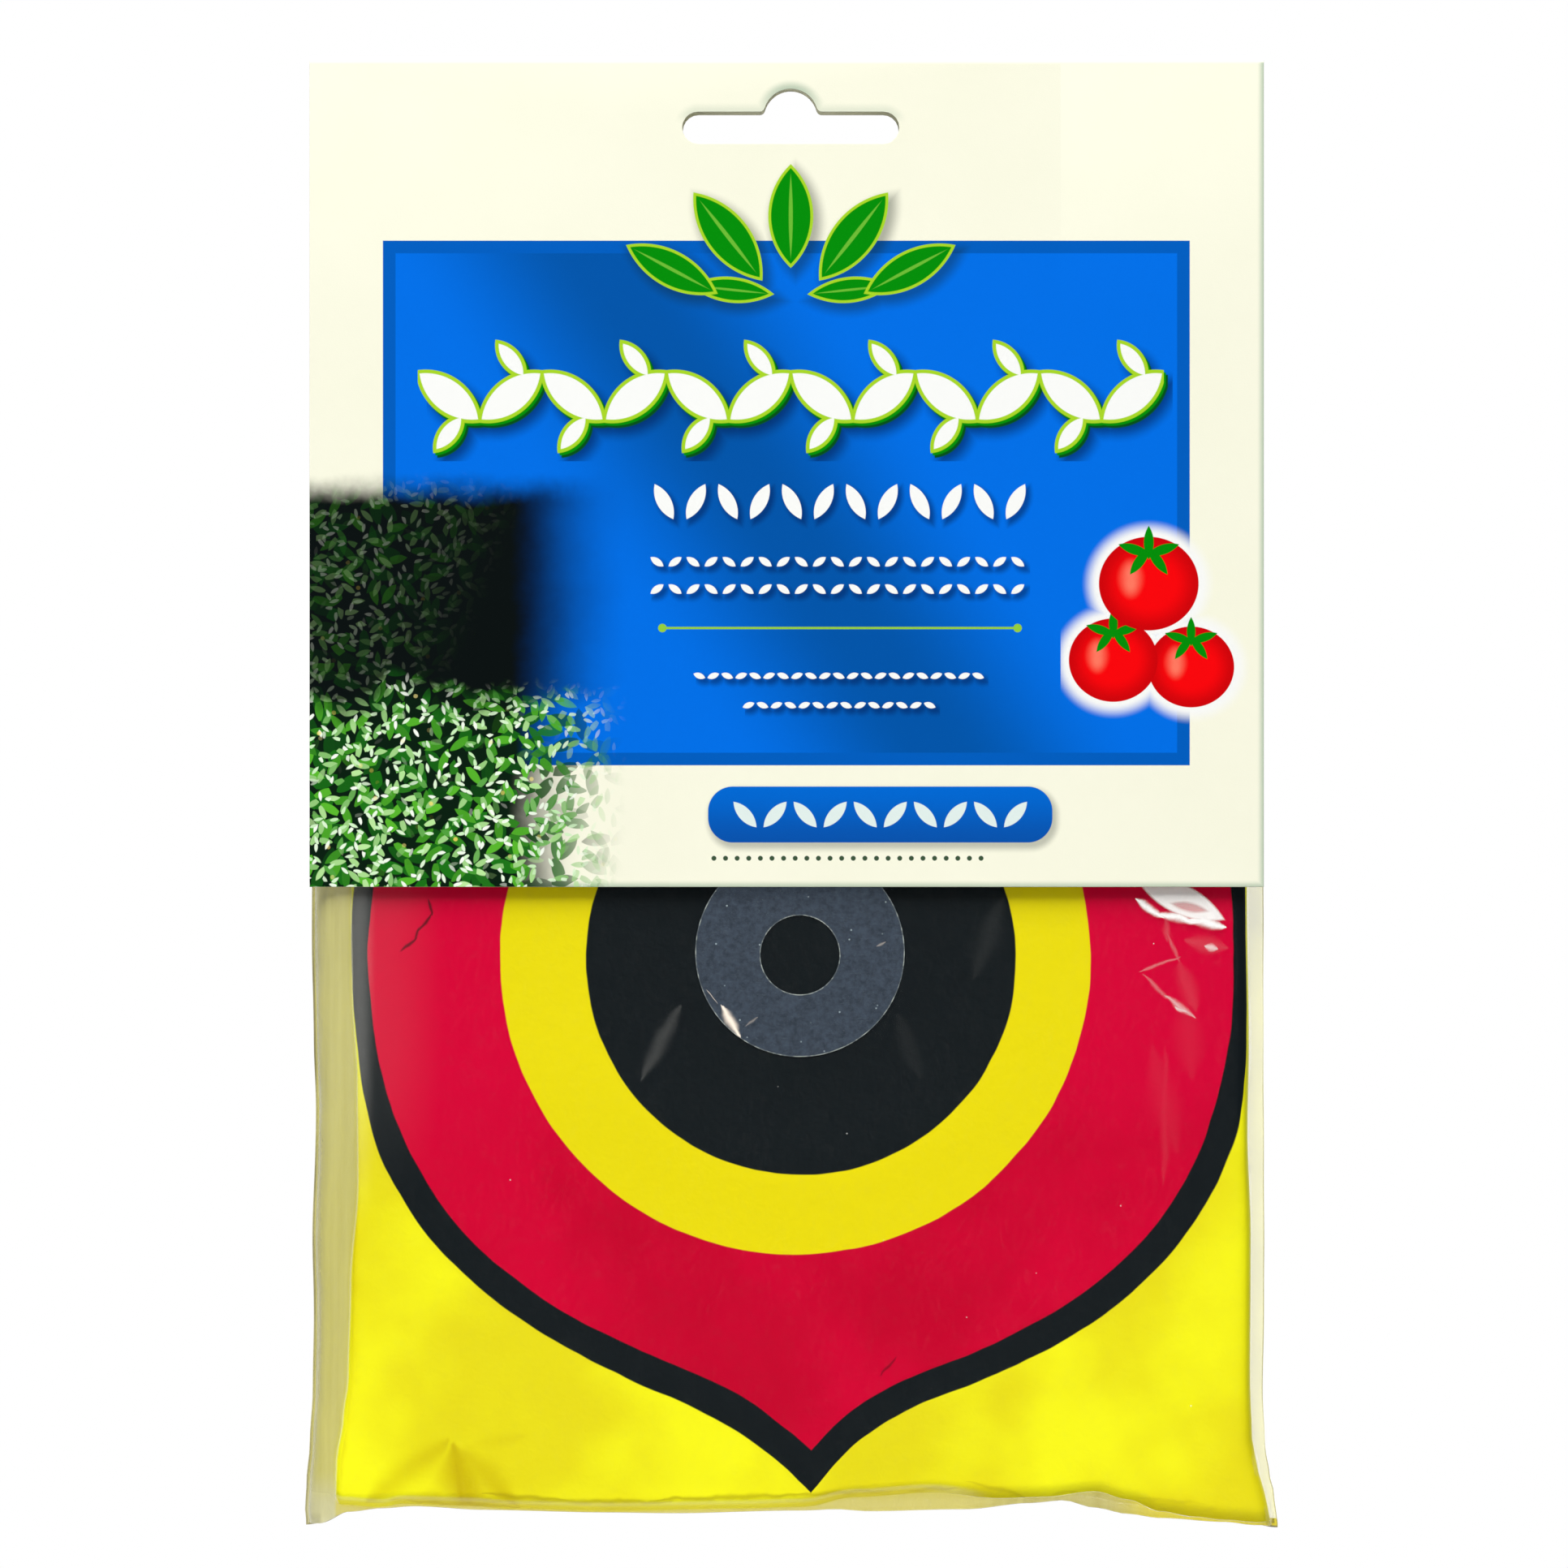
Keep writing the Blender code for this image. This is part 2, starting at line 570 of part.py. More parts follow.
def valve_stopper(mouth):
    """A push-in stopper on a short tongue, closed, hinged where the tongue meets the valve's ear."""
    setback = TOUCH + STOPPER_THICKNESS / 2
    hinge = Vector((mouth.x - setback, mouth.y, mouth.z + VALVE_TUBE_RADIUS + HINGE_RISE))
    out = Vector((-1, 0, 0))
    rings = [
        (STOPPER_TIP_RADIUS, -STOPPER_STEM_LENGTH),
        (STOPPER_STEM_RADIUS, TOUCH),
        (VALVE_TUBE_RADIUS, TOUCH),
        (VALVE_TUBE_RADIUS, TOUCH + STOPPER_THICKNESS),
    ]
    stopper = place("valve_stopper", turned_solid(rings, mouth, out, VALVE_STEPS), clear_plastic, hinge)
    half = STOPPER_THICKNESS / 2
    outline = list(arc((hinge.x, hinge.z), half, 0, math.pi, FOLD_STEPS))
    outline += [(hinge.x - half, mouth.z), (hinge.x + half, mouth.z)]
    depth = HINGE_WIDTH / 2
    tongue = loft([[Vector((x, y, z)) for x, z in outline] for y in (mouth.y - depth, mouth.y + depth)])
    combine(stopper, place("stopper_tongue", tongue, clear_plastic), "UNION")
    return stopper


def pouch_back(z, swell):
    """The back film's outer face: it follows the card down to the packet, then lies over the contents."""
    under_card = bow(max(z, CARD_BOTTOM)) - BACK_STACK + FILM_THICKNESS
    return min(under_card, POUCH_DEPTH + FILM_THICKNESS + swell)


def pouch_half_width(z):
    """Half the pouch's width: its lower corners are pushed out by the packet."""
    share = min(max(1 - (z - PACKET_BOTTOM) / FLARE_HEIGHT, 0), 1)
    return POUCH_WIDTH / 2 + SIDE_FLARE * share * share


def pouch_ring(section, z, drop):
    """A section's points at a level, drawn down into ears at both ends by a share of the ears' drop."""
    half = pouch_half_width(z)
    return [
        Vector((x, y, z - drop * EAR_DROP * (abs(x - POUCH_SHIFT) / half) ** EAR_POWER)) for x, y in section
    ]


def pouch_section(z, wall, close):
    """One level of the pouch; close shrinks its depth towards the weld where the base shuts."""
    half = pouch_half_width(z) - WELD_WIDTH - wall
    left, right = POUCH_SHIFT - half, POUCH_SHIFT + half
    middle = POUCH_FRONT + (pouch_back(z, 0) - POUCH_FRONT) * WELD_DEPTH_SHARE
    seam = FILM_THICKNESS - wall / 2

    def depth(x, full, left_corner, right_corner):
        into = max((left + left_corner - x) / left_corner, (x - right + right_corner) / right_corner, 0)
        swell = math.sqrt(max(1 - into * into, 0)) * close
        return max(swell * full, seam)

    steps = [math.sin(math.pi / 2 * index / CORNER_STEPS) for index in range(CORNER_STEPS)]
    levels = [left + LEFT_SLOPE * (1 - share) for share in reversed(steps)]
    inner = levels[-1], right - RIGHT_SLOPE
    levels += [
        inner[0] + (inner[1] - inner[0]) * index / BULGE_ACROSS_STEPS for index in range(1, BULGE_ACROSS_STEPS)
    ]
    levels += [right - RIGHT_SLOPE * (1 - share) for share in steps]
    front_run = middle - POUCH_FRONT - wall
    front = [
        (x, middle - depth(x, front_run, FRONT_CORNER, FRONT_CORNER)) for x in [left, *levels, right]
    ]
    back = [
        (x, middle + depth(x, pouch_back(z, bulge(x, z)) - wall - middle, LEFT_SLOPE, RIGHT_SLOPE))
        for x in [left, *levels, right]
    ]
    return middle, front, back


def pouch_levels():
    """Heights down the pouch, each with how far its section is open and how far its ends are drawn down."""
    top, floor = -MOUTH_DROP, PACKET_BOTTOM - TOUCH
    levels = [(top + (floor - top) * index / BULGE_DOWN_STEPS, 1, 0) for index in range(BULGE_DOWN_STEPS + 1)]
    for index in range(1, BASE_STEPS + 1):
        angle = math.pi / 2 * index / BASE_STEPS
        levels.append((floor - BASE_DEPTH * math.sin(angle), max(math.cos(angle), 0), index / BASE_STEPS))
    return levels


def poly_pouch():
    """One clear film pouch: flat welded side fins, a welded base and an open mouth under the card."""
    rings = []
    levels = pouch_levels()
    levels.append((levels[-1][0] - WELD_WIDTH, 0, 1))
    for z, close, drop in levels:
        middle, front, back = pouch_section(z, 0, close)
        near, far = middle - FILM_THICKNESS, middle + FILM_THICKNESS
        left, right = POUCH_SHIFT - pouch_half_width(z), POUCH_SHIFT + pouch_half_width(z)
        section = [(left, near), *front, (right, near), (right, far), *reversed(back), (left, far)]
        rings.append(pouch_ring(section, z, drop))
    pouch = place("poly_pouch", loft(rings, flattened=True), clear_film)
    hollow = []
    levels = pouch_levels()[:-1]
    levels[0] = (levels[0][0] + OVERRUN, 1, 0)
    for z, close, drop in levels:
        _, front, back = pouch_section(z, FILM_THICKNESS, close)
        lift = FILM_THICKNESS if drop else 0
        hollow.append(pouch_ring([*front, *reversed(back)], z + lift, drop))
    combine(pouch, place("pouch_hollow", loft(hollow, flattened=True), clear_film), "DIFFERENCE")
    return pouch


def card_front_panel():
    """The printed front and the rounded spine, one piece of card with the slot punched through."""
    inner, outer = CREASE_RADIUS - CARD_THICKNESS, CREASE_RADIUS
    section = [(0, CARD_BOTTOM)]
    section += list(arc(SPINE_CENTRE, outer, math.pi, SPINE_END_ANGLE, SPINE_STEPS))
    section += list(arc(SPINE_CENTRE, inner, SPINE_END_ANGLE, math.pi, SPINE_STEPS))
    section += [(CARD_THICKNESS, CARD_BOTTOM)]
    panel = place("card_front_panel", swept_across(section, CARD_WIDTH, CARD_SHIFT), card_stock)
    return combine(panel, slot_cutter("front_slot"), "DIFFERENCE")


def card_back_panel():
    """The back of the card, bowed over the contents, hinged along its crease."""
    half = CARD_THICKNESS / 2
    front, back = bow_section(HINGE_Z, CARD_BOTTOM, -half, half, BOW_STEPS)
    lean = math.atan(BOW_SLOPE)
    edge = list(arc((HINGE_Y, HINGE_Z), half, lean, math.pi + lean, SPINE_STEPS))[1:-1]
    section = list(reversed(front)) + list(reversed(edge)) + back
    hinge = Vector((CARD_SHIFT, HINGE_Y, HINGE_Z))
    panel = place("card_back_panel", swept_across(section, CARD_WIDTH, CARD_SHIFT), card_stock, hinge)
    return combine(panel, slot_cutter("back_slot"), "DIFFERENCE")


def tape_strips():
    """Two strips of double-sided tape that hold the card's panels to the pouch."""
    top, bottom = -TAPE_DROP, -TAPE_DROP - TAPE_WIDTH
    near = CARD_THICKNESS + TOUCH
    far = near + TAPE_THICKNESS
    section = [(near, top), (far, top), (far, bottom), (near, bottom)]
    place("tape_strip_front", swept_across(section, TAPE_LENGTH, CARD_SHIFT), tape)
    inner = -CARD_THICKNESS / 2 - TOUCH - TAPE_THICKNESS
    front, back = bow_section(top, bottom, inner, inner + TAPE_THICKNESS, BOW_STEPS // 4)
    strip = swept_across(front + list(reversed(back)), TAPE_LENGTH, CARD_SHIFT)
    place("tape_strip_back", strip, tape, Vector((CARD_SHIFT, HINGE_Y, HINGE_Z)))


for leftover in list(bpy.data.objects):
    bpy.data.objects.remove(leftover)

card_stock = plastic("card_stock", (0.96, 0.95, 0.80), 0.45)
tape = plastic("tape", (0.85, 0.85, 0.82), 0.4, alpha=0.6)
clear_film = plastic("clear_film", (0.95, 0.94, 0.86), 0.12, alpha=0.25)
vinyl = plastic("yellow_vinyl", (0.84, 0.78, 0.01), 0.32)
foil = plastic("silver_foil", (0.45, 0.48, 0.52), 0.22, metallic=0.9)
nickel = plastic("nickel", (0.72, 0.71, 0.68), 0.25, metallic=1.0)
clear_plastic = plastic("clear_plastic", (0.85, 0.86, 0.82), 0.2, alpha=0.7)

card_front_panel()
card_back_panel()
tape_strips()
poly_pouch()
for number in range(GORE_COUNT):
    gore(number)
    foil_pupil(number)
pole_cap("pole_cap_inner", INNER_POLE_X, FRONT_ZONE + 2 * ZONE_PITCH, -1)
pole_cap("pole_cap_outer", OUTER_POLE_X, TIP_ZONE, 1)
tab_eye = hang_tab()
eyelet(tab_eye)
hanging_ring(tab_eye)
valve_stopper(valve_body())
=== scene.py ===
from functools import reduce
from math import cos, exp, hypot, pi, radians, sin

import bmesh
import bpy
from mathutils import Matrix, Vector, noise


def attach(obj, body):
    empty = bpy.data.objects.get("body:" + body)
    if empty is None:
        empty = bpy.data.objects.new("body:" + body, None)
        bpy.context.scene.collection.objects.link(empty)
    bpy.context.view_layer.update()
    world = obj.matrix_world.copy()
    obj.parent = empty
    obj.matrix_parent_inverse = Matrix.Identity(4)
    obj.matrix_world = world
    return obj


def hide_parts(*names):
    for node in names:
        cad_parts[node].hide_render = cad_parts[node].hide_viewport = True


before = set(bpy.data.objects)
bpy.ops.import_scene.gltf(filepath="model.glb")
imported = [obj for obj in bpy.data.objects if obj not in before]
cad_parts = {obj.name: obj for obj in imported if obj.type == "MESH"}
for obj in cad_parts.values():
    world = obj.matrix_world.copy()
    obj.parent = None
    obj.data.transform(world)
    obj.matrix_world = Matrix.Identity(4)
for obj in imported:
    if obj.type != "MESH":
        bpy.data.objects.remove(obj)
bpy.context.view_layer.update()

# Camera. It looks straight at the printed face of the pack, as the photograph does, through a long lens,
# so that the pack fills the frame's height. Lengths here and in the meshes are in metres.
LENS = 135
SENSOR = 36
VIEW_WIDTH = 0.2295
VIEW_X, VIEW_Z = -0.00099, -0.10173
scene = bpy.context.scene


def placed(name, data):
    """An object with given data, linked to the scene."""
    made = bpy.data.objects.new(name, data)
    scene.collection.objects.link(made)
    return made


eye = bpy.data.cameras.new("pack_camera")
eye.lens, eye.sensor_width = LENS, SENSOR
eye.clip_start, eye.clip_end = 0.01, 20
camera = placed("pack_camera", eye)
camera.location = (VIEW_X, -VIEW_WIDTH * LENS / SENSOR, VIEW_Z)
camera.rotation_euler = (pi / 2, 0, 0)
scene.camera = camera
scene.view_settings.view_transform = "Standard"

# Studio. A white surround that metal and film also show, a low even light from all round, and three soft
# boxes: a large high one in front, which throws the card's shadow down on the pouch, and weak ones from the
# left and from behind.
AMBIENT = 0.2
KEY_WATTS, FILL_WATTS, BACK_WATTS = 51.5, 1.6, 26.0


def feed(socket, value):
    """Links a socket to a value that varies, or sets it to one that doesn't."""
    if isinstance(value, bpy.types.NodeSocket):
        socket.id_data.links.new(value, socket)
    else:
        socket.default_value = value


def add_node(kind, *values, **settings):
    """A node in the tree of the first socket among some values, which feed its inputs in their order."""
    tree = next(value.id_data for value in values if isinstance(value, bpy.types.NodeSocket))
    node = tree.nodes.new("ShaderNode" + kind)
    for name, setting in settings.items():
        setattr(node, name, setting)
    for socket, value in zip(node.inputs, values):
        feed(socket, value)
    return node


def compute(operation, *values, clamp=False):
    return add_node("Math", *values, operation=operation, use_clamp=clamp).outputs[0]


def chained(operation):
    """The function that takes two or more values together, in their order."""
    return lambda *values, clamp=False: reduce(lambda one, two: compute(operation, one, two, clamp=clamp), values)


plus, less, times = map(chained, ("ADD", "SUBTRACT", "MULTIPLY"))
ratio, most, least = map(chained, ("DIVIDE", "MAXIMUM", "MINIMUM"))


def scaled(value, factor, start):
    return compute("MULTIPLY_ADD", value, factor, start)


def ink(code):
    """A colour given by its usual display code, as the linear one that a shader takes."""
    shares = [(code >> shift & 255) / 255 for shift in (16, 8, 0)]
    return (*(s / 12.92 if s < 0.04 else ((s + 0.055) / 1.055) ** 2.4 for s in shares), 1.0)


world = bpy.data.worlds.new("studio")
scene.world = world
world.use_nodes = True
path = world.node_tree.nodes.new("ShaderNodeLightPath").outputs
seen = plus(path["Is Camera Ray"], path["Is Glossy Ray"], path["Is Transmission Ray"], clamp=True)
surround = world.node_tree.nodes["Background"].inputs
feed(surround["Color"], (1, 1, 1, 1))
feed(surround["Strength"], scaled(seen, 1 - AMBIENT, AMBIENT))


def soft_box(name, place, watts, size, aim=(0, 0, -0.11)):
    lamp = bpy.data.lights.new(name, "AREA")
    lamp.energy, lamp.size = watts, size
    made = placed(name, lamp)
    made.location = place
    made.rotation_euler = (Vector(aim) - Vector(place)).to_track_quat("-Z", "Y").to_euler()


soft_box("high_box", (-0.25, -0.93, 1.5), KEY_WATTS, 1.15)
soft_box("left_box", (-0.9, -1.2, -0.3), FILL_WATTS, 0.8)
soft_box("back_box", (0.5, 1.2, 0.9), BACK_WATTS, 0.9)

# Floor. A plain round board of grey laminate below the hanging pack, turned with a rounded rim, small
# enough to stay out of the photograph's frame. It isn't part of the product.
FLOOR_RADIUS, FLOOR_TOP, FLOOR_THICK = 0.19, -0.252, 0.012


def finish_of(name, colour, roughness, gloss=0.5):
    """A Principled material, with its shader and the place in millimetres that its patterns read."""
    material = bpy.data.materials.new(name)
    material.use_nodes = True
    nodes = material.node_tree.nodes
    shader = nodes["Principled BSDF"]
    for label, value in (("Base Color", colour), ("Roughness", roughness), ("Specular IOR Level", gloss)):
        feed(shader.inputs[label], value)
    place = add_node("VectorMath", nodes.new("ShaderNodeTexCoord").outputs["Object"], operation="SCALE")
    feed(place.inputs["Scale"], 1000)
    return material, shader, place.outputs[0]


def noise_of(place, scale, detail=2.0, roughness=0.5, distortion=0.0):
    node = add_node("TexNoise", place)
    for label, value in (("Scale", scale), ("Detail", detail), ("Roughness", roughness), ("Distortion", distortion)):
        feed(node.inputs[label], value)
    return node.outputs


def speckle(*values):
    return noise_of(*values)["Fac"]


def between(value, start, end, low=0.0, high=1.0):
    """A value eased from low to high as another goes from start to end."""
    return add_node("MapRange", value, start, end, low, high, interpolation_type="SMOOTHSTEP").outputs["Result"]


def paint(mask, under, over):
    """One colour laid over another through a mask."""
    node = add_node("Mix", mask, data_type="RGBA")
    feed(node.inputs[6], under)
    feed(node.inputs[7], over)
    return node.outputs[2]


def cover(shader, colour, grain=None, spread=0.0, smoothest=0.0):
    """Gives a shader its colour, and a roughness that a grain spreads upwards from the smoothest."""
    feed(shader.inputs["Base Color"], colour)
    if grain is not None:
        feed(shader.inputs["Roughness"], scaled(grain, spread, smoothest))


def emboss(shader, height, distance, strength=1.0):
    """Puts a height, in shares of a distance in metres, on the shader as a bump."""
    node = shader.id_data.nodes.new("ShaderNodeBump")
    for label, value in (("Distance", distance), ("Strength", strength), ("Height", height)):
        feed(node.inputs[label], value)
    feed(shader.inputs["Normal"], node.outputs["Normal"])


def outwards(builder):
    """Turns a bmesh's faces outwards."""
    bmesh.ops.recalc_face_normals(builder, faces=builder.faces[:])


def piece(name, builder, *materials, sharp=radians(35)):
    """A bmesh made an object, with edges that look sharp where its faces turn by more than an angle."""
    mesh = bpy.data.meshes.new(name)
    builder.to_mesh(mesh)
    builder.free()
    for material in materials:
        mesh.materials.append(material)
    mesh.shade_smooth()
    mesh.set_sharp_from_angle(angle=sharp)
    return placed(name, mesh)


def chosen(parts, kind):
    return [part for part in parts if isinstance(part, kind)]


builder = bmesh.new()
bmesh.ops.create_circle(builder, cap_ends=True, radius=FLOOR_RADIUS, segments=128)
grown = bmesh.ops.extrude_face_region(builder, geom=builder.faces[:])["geom"]
bmesh.ops.translate(builder, verts=chosen(grown, bmesh.types.BMVert), vec=(0, 0, FLOOR_THICK))
rim = [edge for edge in builder.edges if edge.is_valid and edge.calc_face_angle(0) > 1]
bmesh.ops.bevel(builder, geom=rim, offset=0.003, affect="EDGES", segments=4, profile=0.5, material=-1)
bmesh.ops.translate(builder, verts=builder.verts, vec=(0, 0, FLOOR_TOP - FLOOR_THICK))
outwards(builder)
laminate, shader, place = finish_of("grey_laminate", ink(0xC4C4C2), 0.6)
cover(shader, paint(speckle(place, 0.05, 3), ink(0xC8C8C6), ink(0xBEBEBC)))
piece("floor_board", builder, laminate)

# Header card, front. Coated board printed in four colours, creased round a soft spine, die-cut with a hang
# slot. The print is a plain blue panel, leaf sprays, dotted rules, fruit and a bed of foliage.
CREAM, CREAM_SHADE = ink(0xFCFBE6), ink(0xF7F7E0)
BOARD_CORE = ink(0xE2E0CD)
WHITE, LIME, LEAF_GREEN, DEEP_GREEN = ink(0xFAFBF8), ink(0xA8D628), ink(0x018C06), ink(0x024E16)
PANEL_EDGE, PANEL_MIDDLE, PANEL_CORNER = ink(0x005DBE), ink(0x0054A8), ink(0x006FE6)
FRUIT_RED, FRUIT_SHINE = ink(0xFA040A), ink(0xFF7860)
# Grey-green for painted shade at the card's lower and right cut edges and over its hang slot
PAINTED_EDGE_SHADE = ink(0xBACAB2)
PRINT_GLOSS = 0.04
BAND_PLACE, BAND_FACING = (-27.8, 0, -26.2), (0.819, 0, 0.574)


def pattern_group(name, places, measures, output="Distance", kind="Float"):
    """A node group for a shape or an effect, with its vector and number inputs and its one output."""
    made = bpy.data.node_groups.new(name, "ShaderNodeTree")
    for label in places + measures:
        sort = "NodeSocketVector" if label in places else "NodeSocketFloat"
        made.interface.new_socket(label, in_out="INPUT", socket_type=sort)
    made.interface.new_socket(output, in_out="OUTPUT", socket_type="NodeSocket" + kind)
    given = made.nodes.new("NodeGroupInput").outputs[: len(places + measures)]
    return made, given, made.nodes.new("NodeGroupOutput").inputs[0]


def vectors(operation, *values):
    """A vector sum; a length, a distance and a dot product give a number."""
    node = add_node("VectorMath", *values, operation=operation)
    return node.outputs["Value" if operation in ("LENGTH", "DOT_PRODUCT", "DISTANCE") else "Vector"]


def split(value):
    return add_node("SeparateXYZ", value).outputs


def joined(x, y, z):
    return add_node("CombineXYZ", x, y, z).outputs[0]


def hypotenuse(one, two):
    return compute("SQRT", plus(times(one, one), times(two, two)))


# An oval's edge distance, in millimetres, less than nought inside
oval_shape, (spot, centre, half), result = pattern_group("oval_shape", ["Place", "Centre", "Half"], [])
off = vectors("SUBTRACT", spot, centre)
reach = vectors("LENGTH", vectors("DIVIDE", off, half))
spread = ratio(vectors("LENGTH", off), most(reach, 0.001))
feed(result, times(less(reach, 1.0), spread))

# A round-cornered box's edge distance
box_shape, (spot, centre, half, corner), result = pattern_group("box_shape", ["Place", "Centre", "Half"], ["Corner"])
past = split(vectors("SUBTRACT", vectors("ABSOLUTE", vectors("SUBTRACT", spot, centre)), half))
past_x, past_z = plus(past["X"], corner), plus(past["Z"], corner)
inside, outside = least(most(past_x, past_z), 0.0), hypotenuse(most(past_x, 0.0), most(past_z, 0.0))
feed(result, less(plus(inside, outside), corner))

# A pointed leaf's edge distance: two arcs that meet at both tips, turned by an angle
leaf_shape, (spot, centre, turn, half_length, half_width), result = pattern_group(
    "leaf_shape", ["Place", "Centre"], ["Turn", "Half Length", "Half Width"]
)
off = split(vectors("SUBTRACT", spot, centre))
cosine, sine = compute("COSINE", turn), compute("SINE", turn)
along = plus(times(off["X"], cosine), times(off["Z"], sine))
aside = less(times(off["Z"], cosine), times(off["X"], sine))
squares = plus(times(half_length, half_length), times(half_width, half_width))
arc_radius = ratio(squares, times(half_width, 2.0))
aside = plus(compute("ABSOLUTE", aside), less(arc_radius, half_width))
feed(result, less(hypotenuse(along, aside), arc_radius))


def shape(kind, *values):
    """What a group gives for a place, and for a shape its centre and its measures in their order."""
    return add_node("Group", *values, node_tree=kind).outputs[0]


def inked(distance, grow=0.0, blur=0.12):
    """The mask of a shape, grown by some millimetres, with an edge of a given blur."""
    return between(distance, grow + blur / 2, grow - blur / 2)


def flattened(place):
    """A place with its depth left out."""
    return vectors("MULTIPLY", place, (1, 0, 1))


# The ground that every zone of the print shares: cream stock, with painted shade at its lower and right
# cut edges and over the hang slot, and the blue panel, which has a darker border and is palest away from a
# slanting band
card_ground, (spot,), result = pattern_group("card_ground", ["Place"], [], "Color", "Color")
stock = paint(speckle(spot, 0.06, 2), CREAM, CREAM_SHADE)
panel = shape(box_shape, spot, (-0.65, 0, -60.6), (59.05, 1, 38.4))
from_band = compute("ABSOLUTE", vectors("DOT_PRODUCT", vectors("SUBTRACT", spot, BAND_PLACE), BAND_FACING))
field = paint(between(from_band, 2, 25), PANEL_MIDDLE, PANEL_CORNER)
at = split(spot)
# Painted shade: a grey-green band along the lower and right cut edges, and a painted shadow along the hang slot's
# upper edges
edge = most(between(at["Z"], -115.7, -116.9), between(at["X"], 68.2, 69.3))
slot_bar = shape(box_shape, spot, (0, 0, -5.67), (15.9, 1, 2.3), 2.3)
slot_bump = shape(oval_shape, spot, (0, 0, -3.97), (4, 1, 4))
slot_painted_shadow = times(between(least(slot_bar, slot_bump), 1.5, 0.0), between(at["Z"], -5.2, -3.4))
edge = most(edge, times(slot_painted_shadow, between(at["Z"], -3.2, 0.6, 0.4, 0.95)))
stock = paint(inked(panel), paint(edge, stock, PAINTED_EDGE_SHADE), PANEL_EDGE)
feed(result, paint(inked(panel, -1.85), stock, field))


def printed_zone(name):
    """A zone's material, with the places and the ground colour that its motifs are laid on."""
    material, shader, place = finish_of(name, CREAM, 0.42, PRINT_GLOSS)
    spot = flattened(place)
    return material, shader, place, spot, shape(card_ground, spot)


def coat(shader, place, colour):
    """Finishes a board material: its colour, and the faint tooth of coated paper."""
    fibre = speckle(place, 4.5, 4, 0.6)
    cover(shader, colour, fibre, 0.16, 0.34)
    emboss(shader, fibre, 0.00002, 0.6)


def row(spot, start, pitch, count):
    """A place folded into one cell of a row, with the cell's parity and the mask of the row's length."""
    at = split(spot)
    x = less(at["X"], start)
    cell = compute("FLOOR", ratio(x, pitch))
    local = joined(less(x, scaled(cell, pitch, pitch / 2)), 0.0, at["Z"])
    parity = scaled(compute("FLOORED_MODULO", cell, 2.0), 2.0, -1.0)
    return local, parity, compute("COMPARE", plus(cell, 0.5), count / 2, count / 2)


def leaf_row(card, spot, cells, z, leaf, turn, colour, grow=0.0, blur=0.12, strength=1.0):
    """A row of leaves, of a half length and a half width, that lean to either side by turns."""
    local, parity, inside = row(spot, *cells)
    drawn = shape(leaf_shape, local, (0, 0, z), times(parity, radians(turn)), *leaf)
    return paint(times(inked(drawn, grow, blur), inside, strength), card, colour)


# A spray of seven leaves over the panel's upper edge: each leaf's turn, x, z, half length and half width
spray_print, shader, place, spot, card = printed_zone("card_spray")
SPRAY = (
    (174, -8.6, -29.4, 6.2, 1.9),
    (6, 8.6, -29.4, 6.2, 1.9),
    (152, -17.4, -26.4, 7.6, 2.7),
    (28, 17.4, -26.4, 7.6, 2.7),
    (128, -9.2, -21.6, 8.2, 3.2),
    (52, 9.2, -21.6, 8.2, 3.2),
    (90, 0, -18.6, 7.6, 3.3),
)
shadow = 0.0
for turn, x, z, length, width in SPRAY:
    cast = shape(leaf_shape, spot, (x + 0.7, 0, z - 0.9), radians(turn), length, width)
    shadow = most(inked(cast, 0.5, 2.4), shadow)
card = paint(times(shadow, 0.55), card, ink(0x0A281E))
for turn, x, z, length, width in SPRAY:
    leaf = (leaf_shape, spot, (x, 0, z), radians(turn))
    drawn, vein = shape(*leaf, length, width), shape(*leaf, length * 0.8, width * 0.09)
    card = paint(inked(drawn), card, LIME)
    card = paint(inked(drawn, -0.42), card, LEAF_GREEN)
    card = paint(times(inked(vein), 0.8), card, ink(0x78C43C))
coat(shader, place, card)

# A garland of white leaves, edged in lime, with a green shadow
garland_print, shader, place, spot, card = printed_zone("card_garland")
for shift, grow, colour, blur, strength in (
    ((1.3, 0, -1.5), 0.7, ink(0x00225C), 2.6, 0.75),
    ((0.6, 0, -0.7), 0.42, DEEP_GREEN, 0.2, 1.0),
    ((0.3, 0, -0.35), 0.42, LEAF_GREEN, 0.2, 1.0),
    ((0, 0, 0), 0.42, LIME, 0.14, 1.0),
    ((0, 0, 0), -0.12, WHITE, 0.14, 1.0),
):
    local, parity, inside = row(vectors("SUBTRACT", spot, shift), -54.6, 9.1, 12)
    tall = shape(leaf_shape, local, (0, 0, -45.0), times(parity, radians(38)), 5.6, 2.35)
    centre = joined(0.0, 0.0, scaled(parity, 5.4, -45.0))
    small = shape(leaf_shape, local, centre, times(parity, radians(-52)), 3.1, 1.2)
    card = paint(times(inked(least(tall, small), grow, blur), inside, strength), card, colour)
coat(shader, place, card)

# Beads and small leaves below it, with dotted rules and a lime rule between two round ends
rules_print, shader, place, spot, card = printed_zone("card_rules")
for shift, *look in (
    ((0.5, 0, -0.6), ink(0x002868), 0.25, 1.2, 0.7),
    ((0, 0, 0), WHITE),
):
    moved = vectors("SUBTRACT", spot, shift)
    for cells, z, leaf, turn in (
        ((-20.9, 4.68, 12), -60.4, (2.9, 1.05), 62),
        ((-20.9, 2.64, 21), -69.2, (1.15, 0.5), 35),
        ((-20.9, 2.64, 21), -73.2, (1.15, 0.5), -35),
        ((-14.4, 2.04, 21), -85.9, (0.9, 0.42), 20),
        ((-7.2, 2.04, 14), -90.2, (0.9, 0.42), -20),
    ):
        card = leaf_row(card, moved, cells, z, leaf, turn, *look)
rule = shape(box_shape, spot, (7.2, 0, -78.9), (26.0, 1, 0.17), 0.1)
